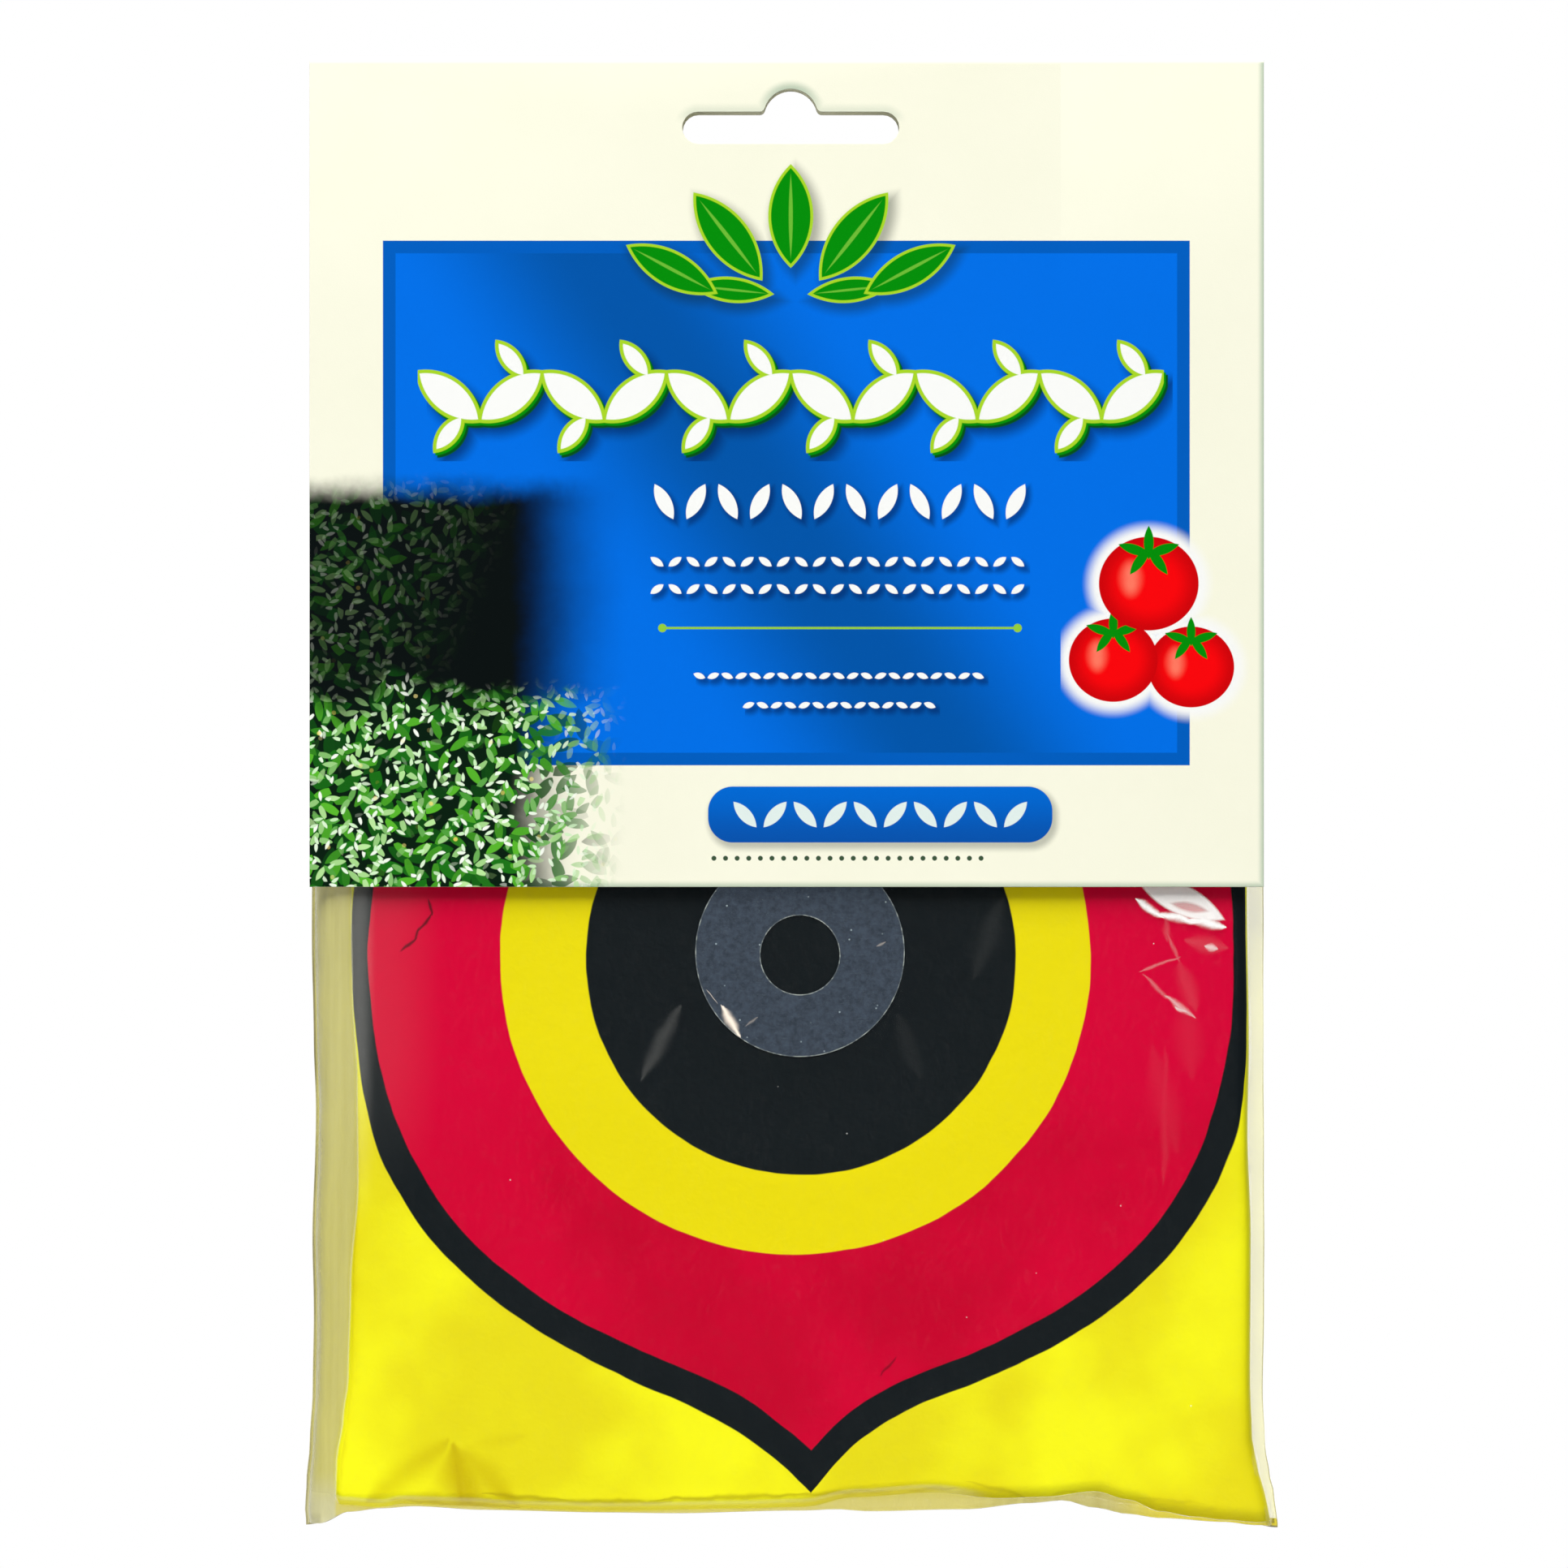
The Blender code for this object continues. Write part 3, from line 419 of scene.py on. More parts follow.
for x in (-18.8, 33.2):
    rule = least(rule, shape(oval_shape, spot, (x, 0, -78.9), (0.62, 1, 0.62)))
card = paint(inked(rule), card, ink(0x96CD3C))
coat(shader, place, card)

# A bed of foliage at the lower left, dark above and bright below, that fades into the panel and the stock
foliage_print, shader, place, spot, card = printed_zone("card_foliage")
at = split(spot)
sheet_place = joined(at["X"], at["Z"], 0.0)
wander = scaled(speckle(spot, 0.1, 4, 0.6), 16.0, -8.0)
bright = times(between(plus(at["Z"], wander), -86, -93), between(at["X"], -27, -42, 0.75, 1.0))
lit = most(bright, between(scaled(at["Z"], -0.4, at["X"]), -14, -38, 0.0, 0.1))
top_fade = times(between(scaled(wander, 0.3, at["Z"]), -55.6, -61.0), between(at["Z"], -54.5, -57.0))
side = scaled(wander, 0.25, at["X"])
ground_fade = times(top_fade, between(side, scaled(bright, -9.0, -23.0), -41.0))
leaf_fade = times(top_fade, between(side, -24.0, -34.0))
card = paint(ground_fade, card, paint(bright, ink(0x020808), ink(0x031A0A)))
for scale, length, width, dull, fresh, share in (
    (0.30, 2.4, 0.9, ink(0x083410), ink(0x1E7A18), 0.1),
    (0.38, 1.9, 0.6, ink(0x1C6C1A), ink(0x5CBC2E), 0.25),
    (0.55, 1.3, 0.42, ink(0x469C34), ink(0xBEECA0), 0.45),
    (0.86, 0.75, 0.25, ink(0xC4F0B4), ink(0xFAFFF4), 0.55),
    (0.60, 0.32, 0.3, ink(0xFAE25A), ink(0xFFF6AA), 0.93),
):
    cell = add_node("TexVoronoi", sheet_place, voronoi_dimensions="2D")
    feed(cell.inputs["Scale"], scale)
    tones = split(cell.outputs["Color"])
    off = split(vectors("SUBTRACT", sheet_place, cell.outputs["Position"]))
    leaf = shape(leaf_shape, joined(off["X"], 0.0, off["Y"]), (0, 0, 0), times(tones["X"], 6.3), length, width)
    mask = times(inked(leaf, 0, 0.14), between(tones["Z"], share, share + 0.1), leaf_fade, lit)
    card = paint(mask, card, paint(tones["Y"], dull, fresh))
coat(shader, place, card)

# Three red fruits in a white glow, over the panel's right edge
fruit_print, shader, place, spot, card = printed_zone("card_fruit")
FRUITS = ((58.6, -84.6, 6.3), (47.2, -83.6, 6.5), (52.4, -72.4, 7.3))
fruits = [shape(oval_shape, spot, (x, 0, z), (radius, 1, radius * 0.94)) for x, z, radius in FRUITS]
card = paint(between(least(*fruits), 2.6, 0.3), card, WHITE)
for fruit, (x, z, radius) in zip(fruits, FRUITS):
    shine_place, shine_half = (x - radius * 0.36, 0, z + radius * 0.1), (radius * 0.2, 1, radius * 0.34)
    shine = between(shape(oval_shape, spot, shine_place, shine_half), radius * 0.12, -radius * 0.2)
    body = paint(between(fruit, -radius * 0.5, 0), FRUIT_RED, ink(0xCE0208))
    card = paint(inked(fruit), card, paint(shine, body, FRUIT_SHINE))
    for angle in map(radians, range(18, 360, 72)):
        sepal = (x + radius * 0.3 * cos(angle), 0, z + radius * (0.62 + 0.2 * sin(angle)))
        sepal = shape(leaf_shape, spot, sepal, angle, radius * 0.34, radius * 0.1)
        card = paint(inked(sepal), card, LEAF_GREEN)
coat(shader, place, card)

# A blue lozenge with a row of pale leaves below the panel, and a dotted rule under it
lozenge_print, shader, place, spot, card = printed_zone("card_lozenge")
cast, bar = (shape(box_shape, spot, middle, (25.2, 1, 4.1), 3.6) for middle in ((13.5, 0, -106.8), (13.1, 0, -106.2)))
card = paint(times(inked(cast, 0.4, 1.4), 0.5), card, ink(0x606860))
blue = paint(between(split(spot)["Z"], -102, -110.5), ink(0x0068D2), ink(0x0652AC))
card = paint(inked(bar), card, blue)
card = leaf_row(card, spot, (-8.9, 4.4, 10), -106.2, (2.5, 0.9), 48, ink(0xE2F0EC))
local, parity, inside = row(spot, -12.1, 1.7, 24)
dot = shape(oval_shape, local, (0, 0, -112.6), (0.36, 1, 0.36))
card = paint(times(inked(dot), inside), card, ink(0x3C543C))
coat(shader, place, card)

plain_board, shader, place = finish_of("plain_board", CREAM, 0.42, PRINT_GLOSS)
coat(shader, place, paint(speckle(place, 0.06, 2), CREAM, CREAM_SHADE))
cut_edge, shader, place = finish_of("cut_edge", BOARD_CORE, 0.8)
plies = speckle(vectors("MULTIPLY", place, (0.3, 9, 0.3)), 1.2, 3)
cover(shader, paint(plies, ink(0xECEAD6), ink(0xCECBB6)))
emboss(shader, plies, 0.00003)

# Where the print is divided, and each zone's lowest and highest x and z
SPRAY_END, GARLAND_END, PANEL_END, LEFT_CUT, RIGHT_CUT = -0.034, -0.0545, -0.1006, -0.021, 0.0395
ZONES = (
    (spray_print, -1, 1, SPRAY_END, 1),
    (garland_print, -1, 1, GARLAND_END, SPRAY_END),
    (foliage_print, -1, LEFT_CUT, -1, GARLAND_END),
    (rules_print, LEFT_CUT, RIGHT_CUT, PANEL_END, GARLAND_END),
    (fruit_print, RIGHT_CUT, 1, PANEL_END, GARLAND_END),
    (lozenge_print, LEFT_CUT, 1, -1, PANEL_END),
)
BOARD = 0.00045


def merged_copy(node):
    """A CAD node's mesh as a bmesh, with its loose triangles merged and its flat faces made whole."""
    builder = bmesh.new()
    builder.from_mesh(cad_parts[node].data)
    bmesh.ops.remove_doubles(builder, verts=builder.verts[:], dist=0.000002)
    bmesh.ops.dissolve_limit(builder, angle_limit=radians(0.4), verts=builder.verts[:], edges=builder.edges[:])
    outwards(builder)
    return builder


def soften(made, node, width, angle=30):
    """Rounds a piece's sharp edges and lets it stand for its node."""
    step = made.modifiers.new("softened_edges", "BEVEL")
    step.width, step.segments, step.limit_method = width, 2, "ANGLE"
    step.angle_limit = radians(angle)
    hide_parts(node)
    return made


builder = merged_copy("card_front_panel")
for x, z in ((0, SPRAY_END), (0, GARLAND_END), (0, PANEL_END), (LEFT_CUT, 0), (RIGHT_CUT, 0)):
    whole, facing = builder.verts[:] + builder.edges[:] + builder.faces[:], (0, 0, 1) if z else (1, 0, 0)
    bmesh.ops.bisect_plane(builder, geom=whole, dist=0.0000005, plane_co=(x, 0, z), plane_no=facing)
for face in builder.faces:
    x, y, z = face.calc_center_median()
    face.material_index = 0
    if face.normal.y < -0.99 and y < 0.00001:
        for index, (_, left, right, low, high) in enumerate(ZONES):
            if left < x < right and low < z < high:
                face.material_index = index + 2
    elif abs(face.normal.x) > 0.9 or (y < BOARD - 0.00001 and z < -0.0005):
        face.material_index = 1
card_front = piece("card_front", builder, plain_board, cut_edge, *[zone[0] for zone in ZONES])
soften(card_front, "card_front_panel", 0.00012)
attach(card_front, "pack")

# Header card, back. The same board, bowed over the contents. It carries one pale green leaf border and
# is otherwise bare, and it swings up about the crease.
BORDER_GREEN = ink(0x48965A)
back_print, shader, place = finish_of("back_print", CREAM, 0.45, PRINT_GLOSS)
spot = flattened(place)
card = paint(speckle(place, 0.06, 2), CREAM, CREAM_SHADE)
border = compute("ABSOLUTE", shape(box_shape, spot, (-0.6, 0, -62), (62, 1, 46), 3.0))
card = paint(inked(border, 0.22), card, BORDER_GREEN)
for z in (-19.2, -104.8):
    card = leaf_row(card, spot, (-56.6, 5.6, 20), z, (2.6, 0.85), 40, BORDER_GREEN)
coat(shader, place, card)
builder = merged_copy("card_back_panel")
for face in builder.faces:
    if face.normal.y > 0.8:
        face.material_index = 2
    elif abs(face.normal.x) > 0.9 or (abs(face.normal.y) < 0.5 and face.calc_center_median().z < 0.001):
        face.material_index = 1
card_back = piece("card_back", builder, plain_board, cut_edge, back_print)
soften(card_back, "card_back_panel", 0.00012)
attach(card_back, "back_panel")

# Tape. Two strips of double-sided film tape hold the card's panels to the pouch. Their adhesive is milky,
# with small trapped bubbles.
def flecks(place, scale, size, core, *chance):
    """The mask of scattered round specks; where a range of chance is given, each has its own strength."""
    node = add_node("TexVoronoi", place)
    feed(node.inputs["Scale"], scale)
    mask = between(node.outputs["Distance"], size, core)
    return times(mask, between(split(node.outputs["Color"])["X"], *chance)) if chance else mask


milky_tape, shader, place = finish_of("milky_tape", ink(0xE2E0D6), 0.4)
bubble = flecks(place, 0.9, 0.32, 0.18)
cover(shader, paint(bubble, ink(0xE2E0D6), ink(0xCECBBE)))
feed(shader.inputs["Alpha"], scaled(bubble, -0.2, 0.72))
emboss(shader, bubble, 0.00003)


def dressed(name, material):
    """A CAD node that is shown as it is, in one material."""
    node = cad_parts[name]
    node.data.materials.clear()
    node.data.materials.append(material)
    return node


for name in ("tape_strip_front", "tape_strip_back"):
    strip = dressed(name, milky_tape)

# Balloon. Six gores of printed vinyl film are welded along their edges, stacked, and folded by both flaps
# into a packet. The print is one scare eye to a gore: rings of black, yellow and red in a black ogee line.
EYE_X, EYE_Z = 0.00125, -0.127296
GORE_COUNT, PITCH, VINYL = 6, 0.00034, 0.00014
BALLOON_WIDTH, BELT, GORE_END = 0.159593, 0.142, 0.2393894
HALF_LENGTH = 0.234394
FRONT_ZONE, ZONE_STEP = 0.00256, 0.00244
LEFT_FOLD, RIGHT_FOLD, TIP_FOLD = -0.063705, 0.063765, -0.040205
INNER_POLE, OUTER_POLE = 0.029465, 0.012373
TIGHT, WIDE = ZONE_STEP / 2, 1.5 * ZONE_STEP
COLUMN, TURN_STEPS, GORE_ROWS = 0.0026, 14, 72


def smooth(value, start, end):
    share = min(max((value - start) / (end - start), 0.0), 1.0)
    return share * share * (3 - 2 * share)


def curve(*points):
    """A smooth run through given (place, value) points, both in millimetres, and level beyond both ends."""

    def value(at):
        for (start, low), (end, high) in zip(points, points[1:]):
            if 1000 * at <= end:
                return (low + (high - low) * smooth(1000 * at, start, end)) / 1000
        return points[-1][1] / 1000

    return value


# How far the packet's sides and its lower edge stray from straight, and how the pouch's edges run
left_shift = curve(
    (-205.5, -1.4), (-201.4, -1.3), (-194.3, -0.3), (-189, 0.4), (-175, 0.8), (-160, 1.9), (-146, 1.8),
    (-132, 1.1), (-118, 0.9),
)
right_shift = curve(
    (-209.5, 2.4), (-206.7, 1.6), (-203.2, 0.6), (-198, -0.4), (-190, -0.7), (-168, -0.6), (-153, -1.1),
    (-140, -0.9), (-118, -1.2),
)
lower_edge = curve(
    (-67.8, 1.2), (-66, -0.5), (-59.9, -0.9), (-57.3, -0.4), (-46.5, -0.7), (-40.9, -1.1), (-26.6, -1.4),
    (-7.6, -1.1), (1.9, -0.8), (9, 0.6), (20.9, 1.3), (30.4, 0.4), (37, 0.6), (44.6, 1.4), (49.4, 0.2),
    (54.1, -1.5), (58.9, -2.3), (63.6, -2.8), (69, -3.2),
)
film_bottom = curve(
    (-71.4, -210.9), (-69.4, -210.7), (-64.7, -208.9), (-59.9, -208.4), (-55.2, -208.1), (-45.6, -208.6),
    (-26.6, -209), (-17.1, -209.1), (1.9, -208.7), (6.6, -208.5), (11.4, -208.8), (25.6, -208.5),
    (35.1, -207.6), (39.9, -207.2), (44.6, -208.3), (49.4, -209.2), (54.1, -209.8), (63.6, -210.4),
    (68.4, -210.9), (71.5, -211.3),
)
film_left = curve(
    (-210.4, -71.3), (-207.5, -71.6), (-203.2, -71.4), (-197.9, -70.9), (-190, -70.5), (-180, -70.3),
    (-167.5, -70.5), (-150, -70), (-139, -70.3), (-125, -70.6), (-14, -70.6),
)
film_right = curve(
    (-209.5, 71.8), (-205, 71.3), (-201.4, 70.5), (-197.9, 69.9), (-190, 69.6), (-175, 69.8), (-130, 69.7),
    (-14, 69.7),
)


def ripple(*place):
    return noise.noise(Vector(place))


def dents(x, z):
    """How deep the packet's front is pressed in: at the lower left, along the base and by the seams."""
    total = 0.0
    for at_x, at_z, wide, tall, deep in (
        (-49.2, -203.5, 2.8, 6.5, 0.55),
        (-55.5, -202, 2.2, 3.5, 0.25),
        (20, -204.5, 12, 2.4, 0.2),
        (58, -196, 4, 9, 0.3),
        (-60, -170, 2.2, 22, 0.3),
        (60.5, -158, 1.8, 16, 0.35),
        (-18, -204.6, 16, 2.2, 0.18),
    ):
        away = ((1000 * x - at_x) / wide) ** 2 + ((1000 * z - at_z) / tall) ** 2
        if away < 9:
            total += deep * exp(-away) / 1000
    return total


def bulge_forward(x, z):
    """How far the packet's front stands out from its flat place below the card."""
    below = smooth(-z, 0.119, 0.150)
    rise = below * (0.35 + 0.65 * smooth(z, -0.2065, -0.186)) * (1 - min(abs((x - EYE_X) / 0.067), 1.0) ** 4)
    wave = ripple(x * 34, 3.1, z * 26)
    fold = ripple(x * 90 + z * 60, 7.7, z * 40 - x * 30)
    near_foil = smooth(hypot(x - EYE_X, z - EYE_Z), 0.018, 0.034)
    height = rise * (0.0007 + 0.00028 * wave + 0.00010 * fold)
    return near_foil * max(height - below * dents(x, z), -0.0001)


def slumped(point):
    """A point of the packet, moved as the balloon has settled in its pouch."""
    x, y, z = point
    aside, depth = x - RIGHT_FOLD, FRONT_ZONE + WIDE - y
    if aside > 0 and depth > 0:
        reach = hypot(aside, depth)
        y = FRONT_ZONE + WIDE - reach + reach * (1 - depth / reach) ** 2.4
    drop = lower_edge(x) * smooth(-z, 0.18, 0.2071)
    left, right = left_shift(z + drop), right_shift(z + drop)
    shift = left * (smooth(-x, 0.0625, 0.0662) if left > 0 else smooth(-x, 0.03, 0.066))
    shift += right * (smooth(x, 0.0655, 0.0686) if right < 0 else smooth(x, 0.045, 0.068))
    shift += 0.0012 * smooth(-x, 0.0640, 0.0668) * smooth(-z, 0.2055, 0.2071)
    forward = bulge_forward(x, z) * (1 - smooth(y, 0.0036, 0.0085))
    return Vector((x + shift, y - forward, z + drop))


def gore_half(run):
    """Half of a gore's width, at a run from the eye."""
    if run <= BELT / 2:
        return BALLOON_WIDTH / 2
    return BALLOON_WIDTH / 2 * cos(pi / 2 * (run - BELT / 2) / (GORE_END - BELT / 2))


def folded_route(offset):
    """The folds seen from above for one layer, as (x, y, outward x, outward y, run from the eye)."""
    stops = []

    def straight(start, end, y, facing, run):
        steps = max(round(abs(end - start) / COLUMN), 1)
        for index in range(1 if stops else 0, steps + 1):
            x = start + (end - start) * index / steps
            stops.append((x, y + facing * offset, 0.0, facing, run + abs(x - start)))

    def turn(x, y, radius, sweep, run, sign):
        for index in range(1, TURN_STEPS):
            angle = -pi / 2 + sweep * index / TURN_STEPS
            across, along = cos(angle), sin(angle)
            reach = radius + sign * offset
            bend = run + radius * abs(sweep) * index / TURN_STEPS
            stops.append((x + reach * across, y + reach * along, sign * across, sign * along, bend))

    bend, wide_bend, long_run = pi * TIGHT, pi * WIDE, RIGHT_FOLD - LEFT_FOLD
    first = EYE_X - LEFT_FOLD
    second = first + bend + long_run
    straight(EYE_X, LEFT_FOLD, FRONT_ZONE, 1, 0.0)
    turn(LEFT_FOLD, FRONT_ZONE + TIGHT, TIGHT, -pi, first, -1)
    straight(LEFT_FOLD, RIGHT_FOLD, FRONT_ZONE + ZONE_STEP, -1, first + bend)
    turn(RIGHT_FOLD, FRONT_ZONE + ZONE_STEP + TIGHT, TIGHT, pi, second, 1)
    straight(RIGHT_FOLD, INNER_POLE, FRONT_ZONE + 2 * ZONE_STEP, 1, second + bend)
    left = [(x, y, nx, ny, -run) for x, y, nx, ny, run in stops]
    stops.clear()
    first = RIGHT_FOLD - EYE_X
    second = first + wide_bend + RIGHT_FOLD - TIP_FOLD
    outer = FRONT_ZONE + 3 * ZONE_STEP
    straight(EYE_X, RIGHT_FOLD, FRONT_ZONE, 1, 0.0)
    turn(RIGHT_FOLD, FRONT_ZONE + WIDE, WIDE, pi, first, -1)
    straight(RIGHT_FOLD, TIP_FOLD, outer, -1, first + wide_bend)
    turn(TIP_FOLD, outer + TIGHT, TIGHT, -pi, second, 1)
    straight(TIP_FOLD, OUTER_POLE, outer + ZONE_STEP, 1, second + bend)
    return left[::-1] + stops[1:]


def stored(label):
    """The measures that a UV map holds, for the material in hand."""
    node = shader.id_data.nodes.new("ShaderNodeUVMap")
    node.uv_map = label
    return node.outputs[0]


printed_vinyl, shader, place = finish_of("printed_vinyl", ink(0xECE814), 0.3, 0.02)
FLAT_SIZE = (2000 * HALF_LENGTH, 1000 * BALLOON_WIDTH, 1)
FLAT_MIDDLE = (-1000 * HALF_LENGTH, -500 * BALLOON_WIDTH, 0)
print_place = vectors("MULTIPLY_ADD", stored("Flat"), FLAT_SIZE, FLAT_MIDDLE)
drift = vectors("MULTIPLY_ADD", noise_of(print_place, 0.12)["Color"], (0.6, 0.6, 0), (-0.3, -0.3, 0))
at = split(vectors("ADD", print_place, drift))
u, v = at["X"], compute("ABSOLUTE", at["Y"])


def from_middle(across, along):
    """How far a point of the print is from a middle that lies across and along from the eye's own."""
    return hypotenuse(less(u, across), less(v, along))


# The printed rings don't quite share a middle. The ogee's point lies a little right of the eye's, and its sides
# swell between the point and the folds.
reach, ring_reach = from_middle(0.25, 0.2), from_middle(-0.6, 0.1)
lean = times(ratio(v, reach), 1.75)
ogee_reach = from_middle(lean, 0.0)
slant = compute("ARCTAN2", compute("ABSOLUTE", less(u, lean)), v)
point = compute("POWER", less(1.0, ratio(slant, radians(30)), clamp=True), 4.0)
swollen = between(slant, radians(22), radians(58), 0, 2.0)


def ogee_line(radius, peak, tuck):
    """The run of an ogee from its middle, with the peak at its point and the tuck beside the folds."""
    tucked = between(slant, radians(60), radians(88), 0, tuck)
    return less(plus(scaled(point, peak, radius), swollen), tucked)


BLACK, YELLOW, RING_YELLOW = ink(0x12181B), ink(0xF0E81A), ink(0xEADB0D)
film_tone = speckle(place, 0.035, 3)
mottled = between(film_tone, 0.35, 0.65)
vinyl_ink = paint(mottled, ink(0xF8F61A), ink(0xE6DA18))
red = paint(mottled, ink(0xC2002A), ink(0xD20032))
# The red is painted lighter towards the top, a painted reflection of the film's haze over it
red = paint(between(scaled(film_tone, 12.0, split(place)["Z"]), -152, -138), red, ink(0xD50035))
for colour, run, line in (
    (BLACK, ogee_reach, ogee_line(66.8, 11.0, 2.6)),
    (red, ogee_reach, ogee_line(62.5, 9.1, 1.1)),
    (RING_YELLOW, ring_reach, 43.3),
    (BLACK, reach, 31.5),
):
    vinyl_ink = paint(inked(less(run, line), blur=0.22), vinyl_ink, colour)

# A crease's mask: a straight line between two points, in millimetres, that thins towards its ends
crease_line, (spot, start, end, width), result = pattern_group(
    "crease_line", ["Place", "Start", "End"], ["Width"], "Mask"
)
run, from_start = vectors("SUBTRACT", end, start), vectors("SUBTRACT", spot, start)
share = ratio(vectors("DOT_PRODUCT", from_start, run), vectors("DOT_PRODUCT", run, run), clamp=True)
nearest = add_node("VectorMath", run, operation="SCALE")
feed(nearest.inputs["Scale"], share)
taper = times(plus(times(share, less(1.0, share), 4.0), 0.15), width)
soft = between(ratio(vectors("DISTANCE", from_start, nearest.outputs[0]), taper), 1.15, 0.0)
feed(result, times(soft, soft))


PIXEL, MIDDLE_COLUMN, TOP_ROW = 0.1188, 974.3, 109.7


def photo_mm(x, y):
    """A point of the printed face, given in the photograph's pixels, in millimetres."""
    return ((x - MIDDLE_COLUMN) * PIXEL, 0.0, (TOP_ROW - y) * PIXEL)


def creases(spot, *lines):
    """The mask of many creases, each given by both its ends' x and y, a width and a strength."""
    wander = vectors("MULTIPLY_ADD", noise_of(spot, 0.3, 5)["Color"], (1.4, 0, 1.4), (-0.7, 0, -0.7))
    spot = vectors("ADD", wander, spot)
    total = 0.0
    for x, y, end_x, end_y, width, strength in lines:
        mask = shape(crease_line, spot, photo_mm(x, y), photo_mm(end_x, end_y), width)
        total = most(times(mask, strength), total)
    return total


spot = flattened(place)
front = between(split(place)["Y"], 1.95, 1.8)
# Painted shade along the creases at the packet's base, in ochre
crease_painted_shade = creases(
    spot,
    (592, 1841, 700, 1851, 0.7, 0.5), (660, 1852, 830, 1852, 0.6, 0.4), (800, 1850, 1000, 1842, 0.7, 0.5),
    (960, 1845, 1100, 1838, 0.6, 0.35), (1120, 1838, 1180, 1834, 0.6, 0.4), (1190, 1828, 1275, 1848, 0.6, 0.3),
    (1262, 1848, 1330, 1839, 0.5, 0.2), (1400, 1848, 1486, 1854, 0.6, 0.15), (500, 1852, 640, 1858, 0.6, 0.5),
)
# Painted shade in the dents at the lower left and along the base, in golden ochre
dent_painted_shade = creases(
    spot,
    (558, 1782, 582, 1878, 5.2, 0.9), (560, 1800, 570, 1856, 2.4, 1.0), (562, 1786, 636, 1856, 3.6, 0.6),
    (552, 1776, 452, 1852, 3.6, 0.5), (566, 1788, 650, 1770, 1.8, 0.2), (434, 1480, 412, 1850, 2.8, 0.5),
    (480, 1850, 620, 1852, 2.2, 0.5), (1180, 1836, 1290, 1850, 2.0, 0.15), (1380, 1848, 1500, 1862, 2.2, 0.2),
)
# Painted shade along creases in the red, as dark red lines
dark_crease_painted_shade = creases(
    spot,
    (526, 1108, 534, 1128, 0.45, 1.0), (534, 1124, 513, 1150, 0.45, 1.0), (516, 1142, 510, 1160, 0.4, 1.0),
    (514, 1156, 492, 1174, 0.45, 1.0), (1084, 1698, 1104, 1672, 0.4, 0.7),
)
# Painted crease and dent shade, and dirt specks, laid on the front gore's print
for mask, strength, colour in (
    (dent_painted_shade, 0.9, ink(0xC4AC04)),
    (crease_painted_shade, 1.0, ink(0xA08A0A)),
    (flecks(place, 0.045, 0.028, 0.014), 0.75, ink(0x543C0A)),
    (dark_crease_painted_shade, 1.0, ink(0x600A1A)),
):
    vinyl_ink = paint(times(mask, front, strength), vinyl_ink, colour)
cover(shader, vinyl_ink, speckle(place, 0.25, 4), 0.18, 0.24)
height = less(times(speckle(place, 0.5, 3, 0.55, 0.4), 0.5), times(crease_painted_shade, front, 0.12))
emboss(shader, height, 0.0002, 0.55)

for index in range(GORE_COUNT):
    offset = (index - (GORE_COUNT - 1) / 2) * PITCH
    route = folded_route(offset)
    last = len(route) - 1
    builder = bmesh.new()
    bmesh.ops.create_grid(builder, x_segments=last, y_segments=GORE_ROWS, size=1)
    flat_map = builder.loops.layers.uv.new("Flat")
    for face in builder.faces:
        for loop in face.loops:
            x, y, nx, ny, run = route[round((loop.vert.co.x + 1) / 2 * last)]
            up = loop.vert.co.y * gore_half(abs(run))
            loop[flat_map].uv = (run / HALF_LENGTH / 2 + 0.5, up / BALLOON_WIDTH + 0.5)
    lower_pair = PITCH * (0.28 if index % 2 == 0 else -0.28)
    upper_pair = -lower_pair if 0 < index < GORE_COUNT - 1 else 0.0
    for vert in builder.verts:
        x, y, nx, ny, run = route[round((vert.co.x + 1) / 2 * last)]
        half = gore_half(abs(run))
        up = vert.co.y * half
        lower, upper = (smooth(height, half - 0.0035, half - 0.0008) for height in (-up, up))
        pinch = lower_pair * lower + upper_pair * upper
        vert.co = slumped((x + nx * pinch, y + ny * pinch, EYE_Z + up))
    gore = piece(f"vinyl_gore_{index + 1}", builder, printed_vinyl, sharp=radians(60))
    wall = gore.modifiers.new("film_thickness", "SOLIDIFY")
    wall.thickness, wall.offset = VINYL, 0
    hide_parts(f"gore_{index + 1}")
    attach(gore, "pack")

# Foil pupils. A ring of silver foil is welded on each eye, with the black iris showing in its hole. Its dark
# grey-blue colour is a painted reflection of dark surroundings. The front one is finely scratched, carries
# painted glints at its lower left and painted highlights along its cut edges, and lifts a little at its lower left.
FOIL_PLACE, HOLE_PLACE = (EYE_X + 0.0001, 0, EYE_Z + 0.0009), (EYE_X + 0.0001, 0, EYE_Z + 0.0005)
FOIL_Y, FOIL_OUTER, FOIL_HOLE, FOIL_THICK, FOIL_STEPS = 0.00154, 0.01535, 0.0058, 0.00003, 8
silver_foil, shader, place = finish_of("silver_foil", ink(0x3A4450), 0.34)
feed(shader.inputs["Metallic"], 0.8)
spot = flattened(place)
grey = speckle(place, 1.1, 8, 0.75)
brushed = speckle(vectors("MULTIPLY", place, (0.5, 1, 5)), 0.7, 5, 0.7)
# Painted glints: near-white strokes where the foil lifts at its lower left, and a few lit scratches
foil_painted_glints = creases(
    spot,
    (890, 1240, 910, 1278, 1.0, 1.0), (888, 1238, 900, 1262, 0.3, 0.9), (902, 1262, 912, 1280, 0.45, 1.0),
    (1078, 1166, 1090, 1160, 0.35, 0.25), (918, 1266, 934, 1254, 0.3, 0.2), (870, 1218, 884, 1238, 0.12, 0.6),
)
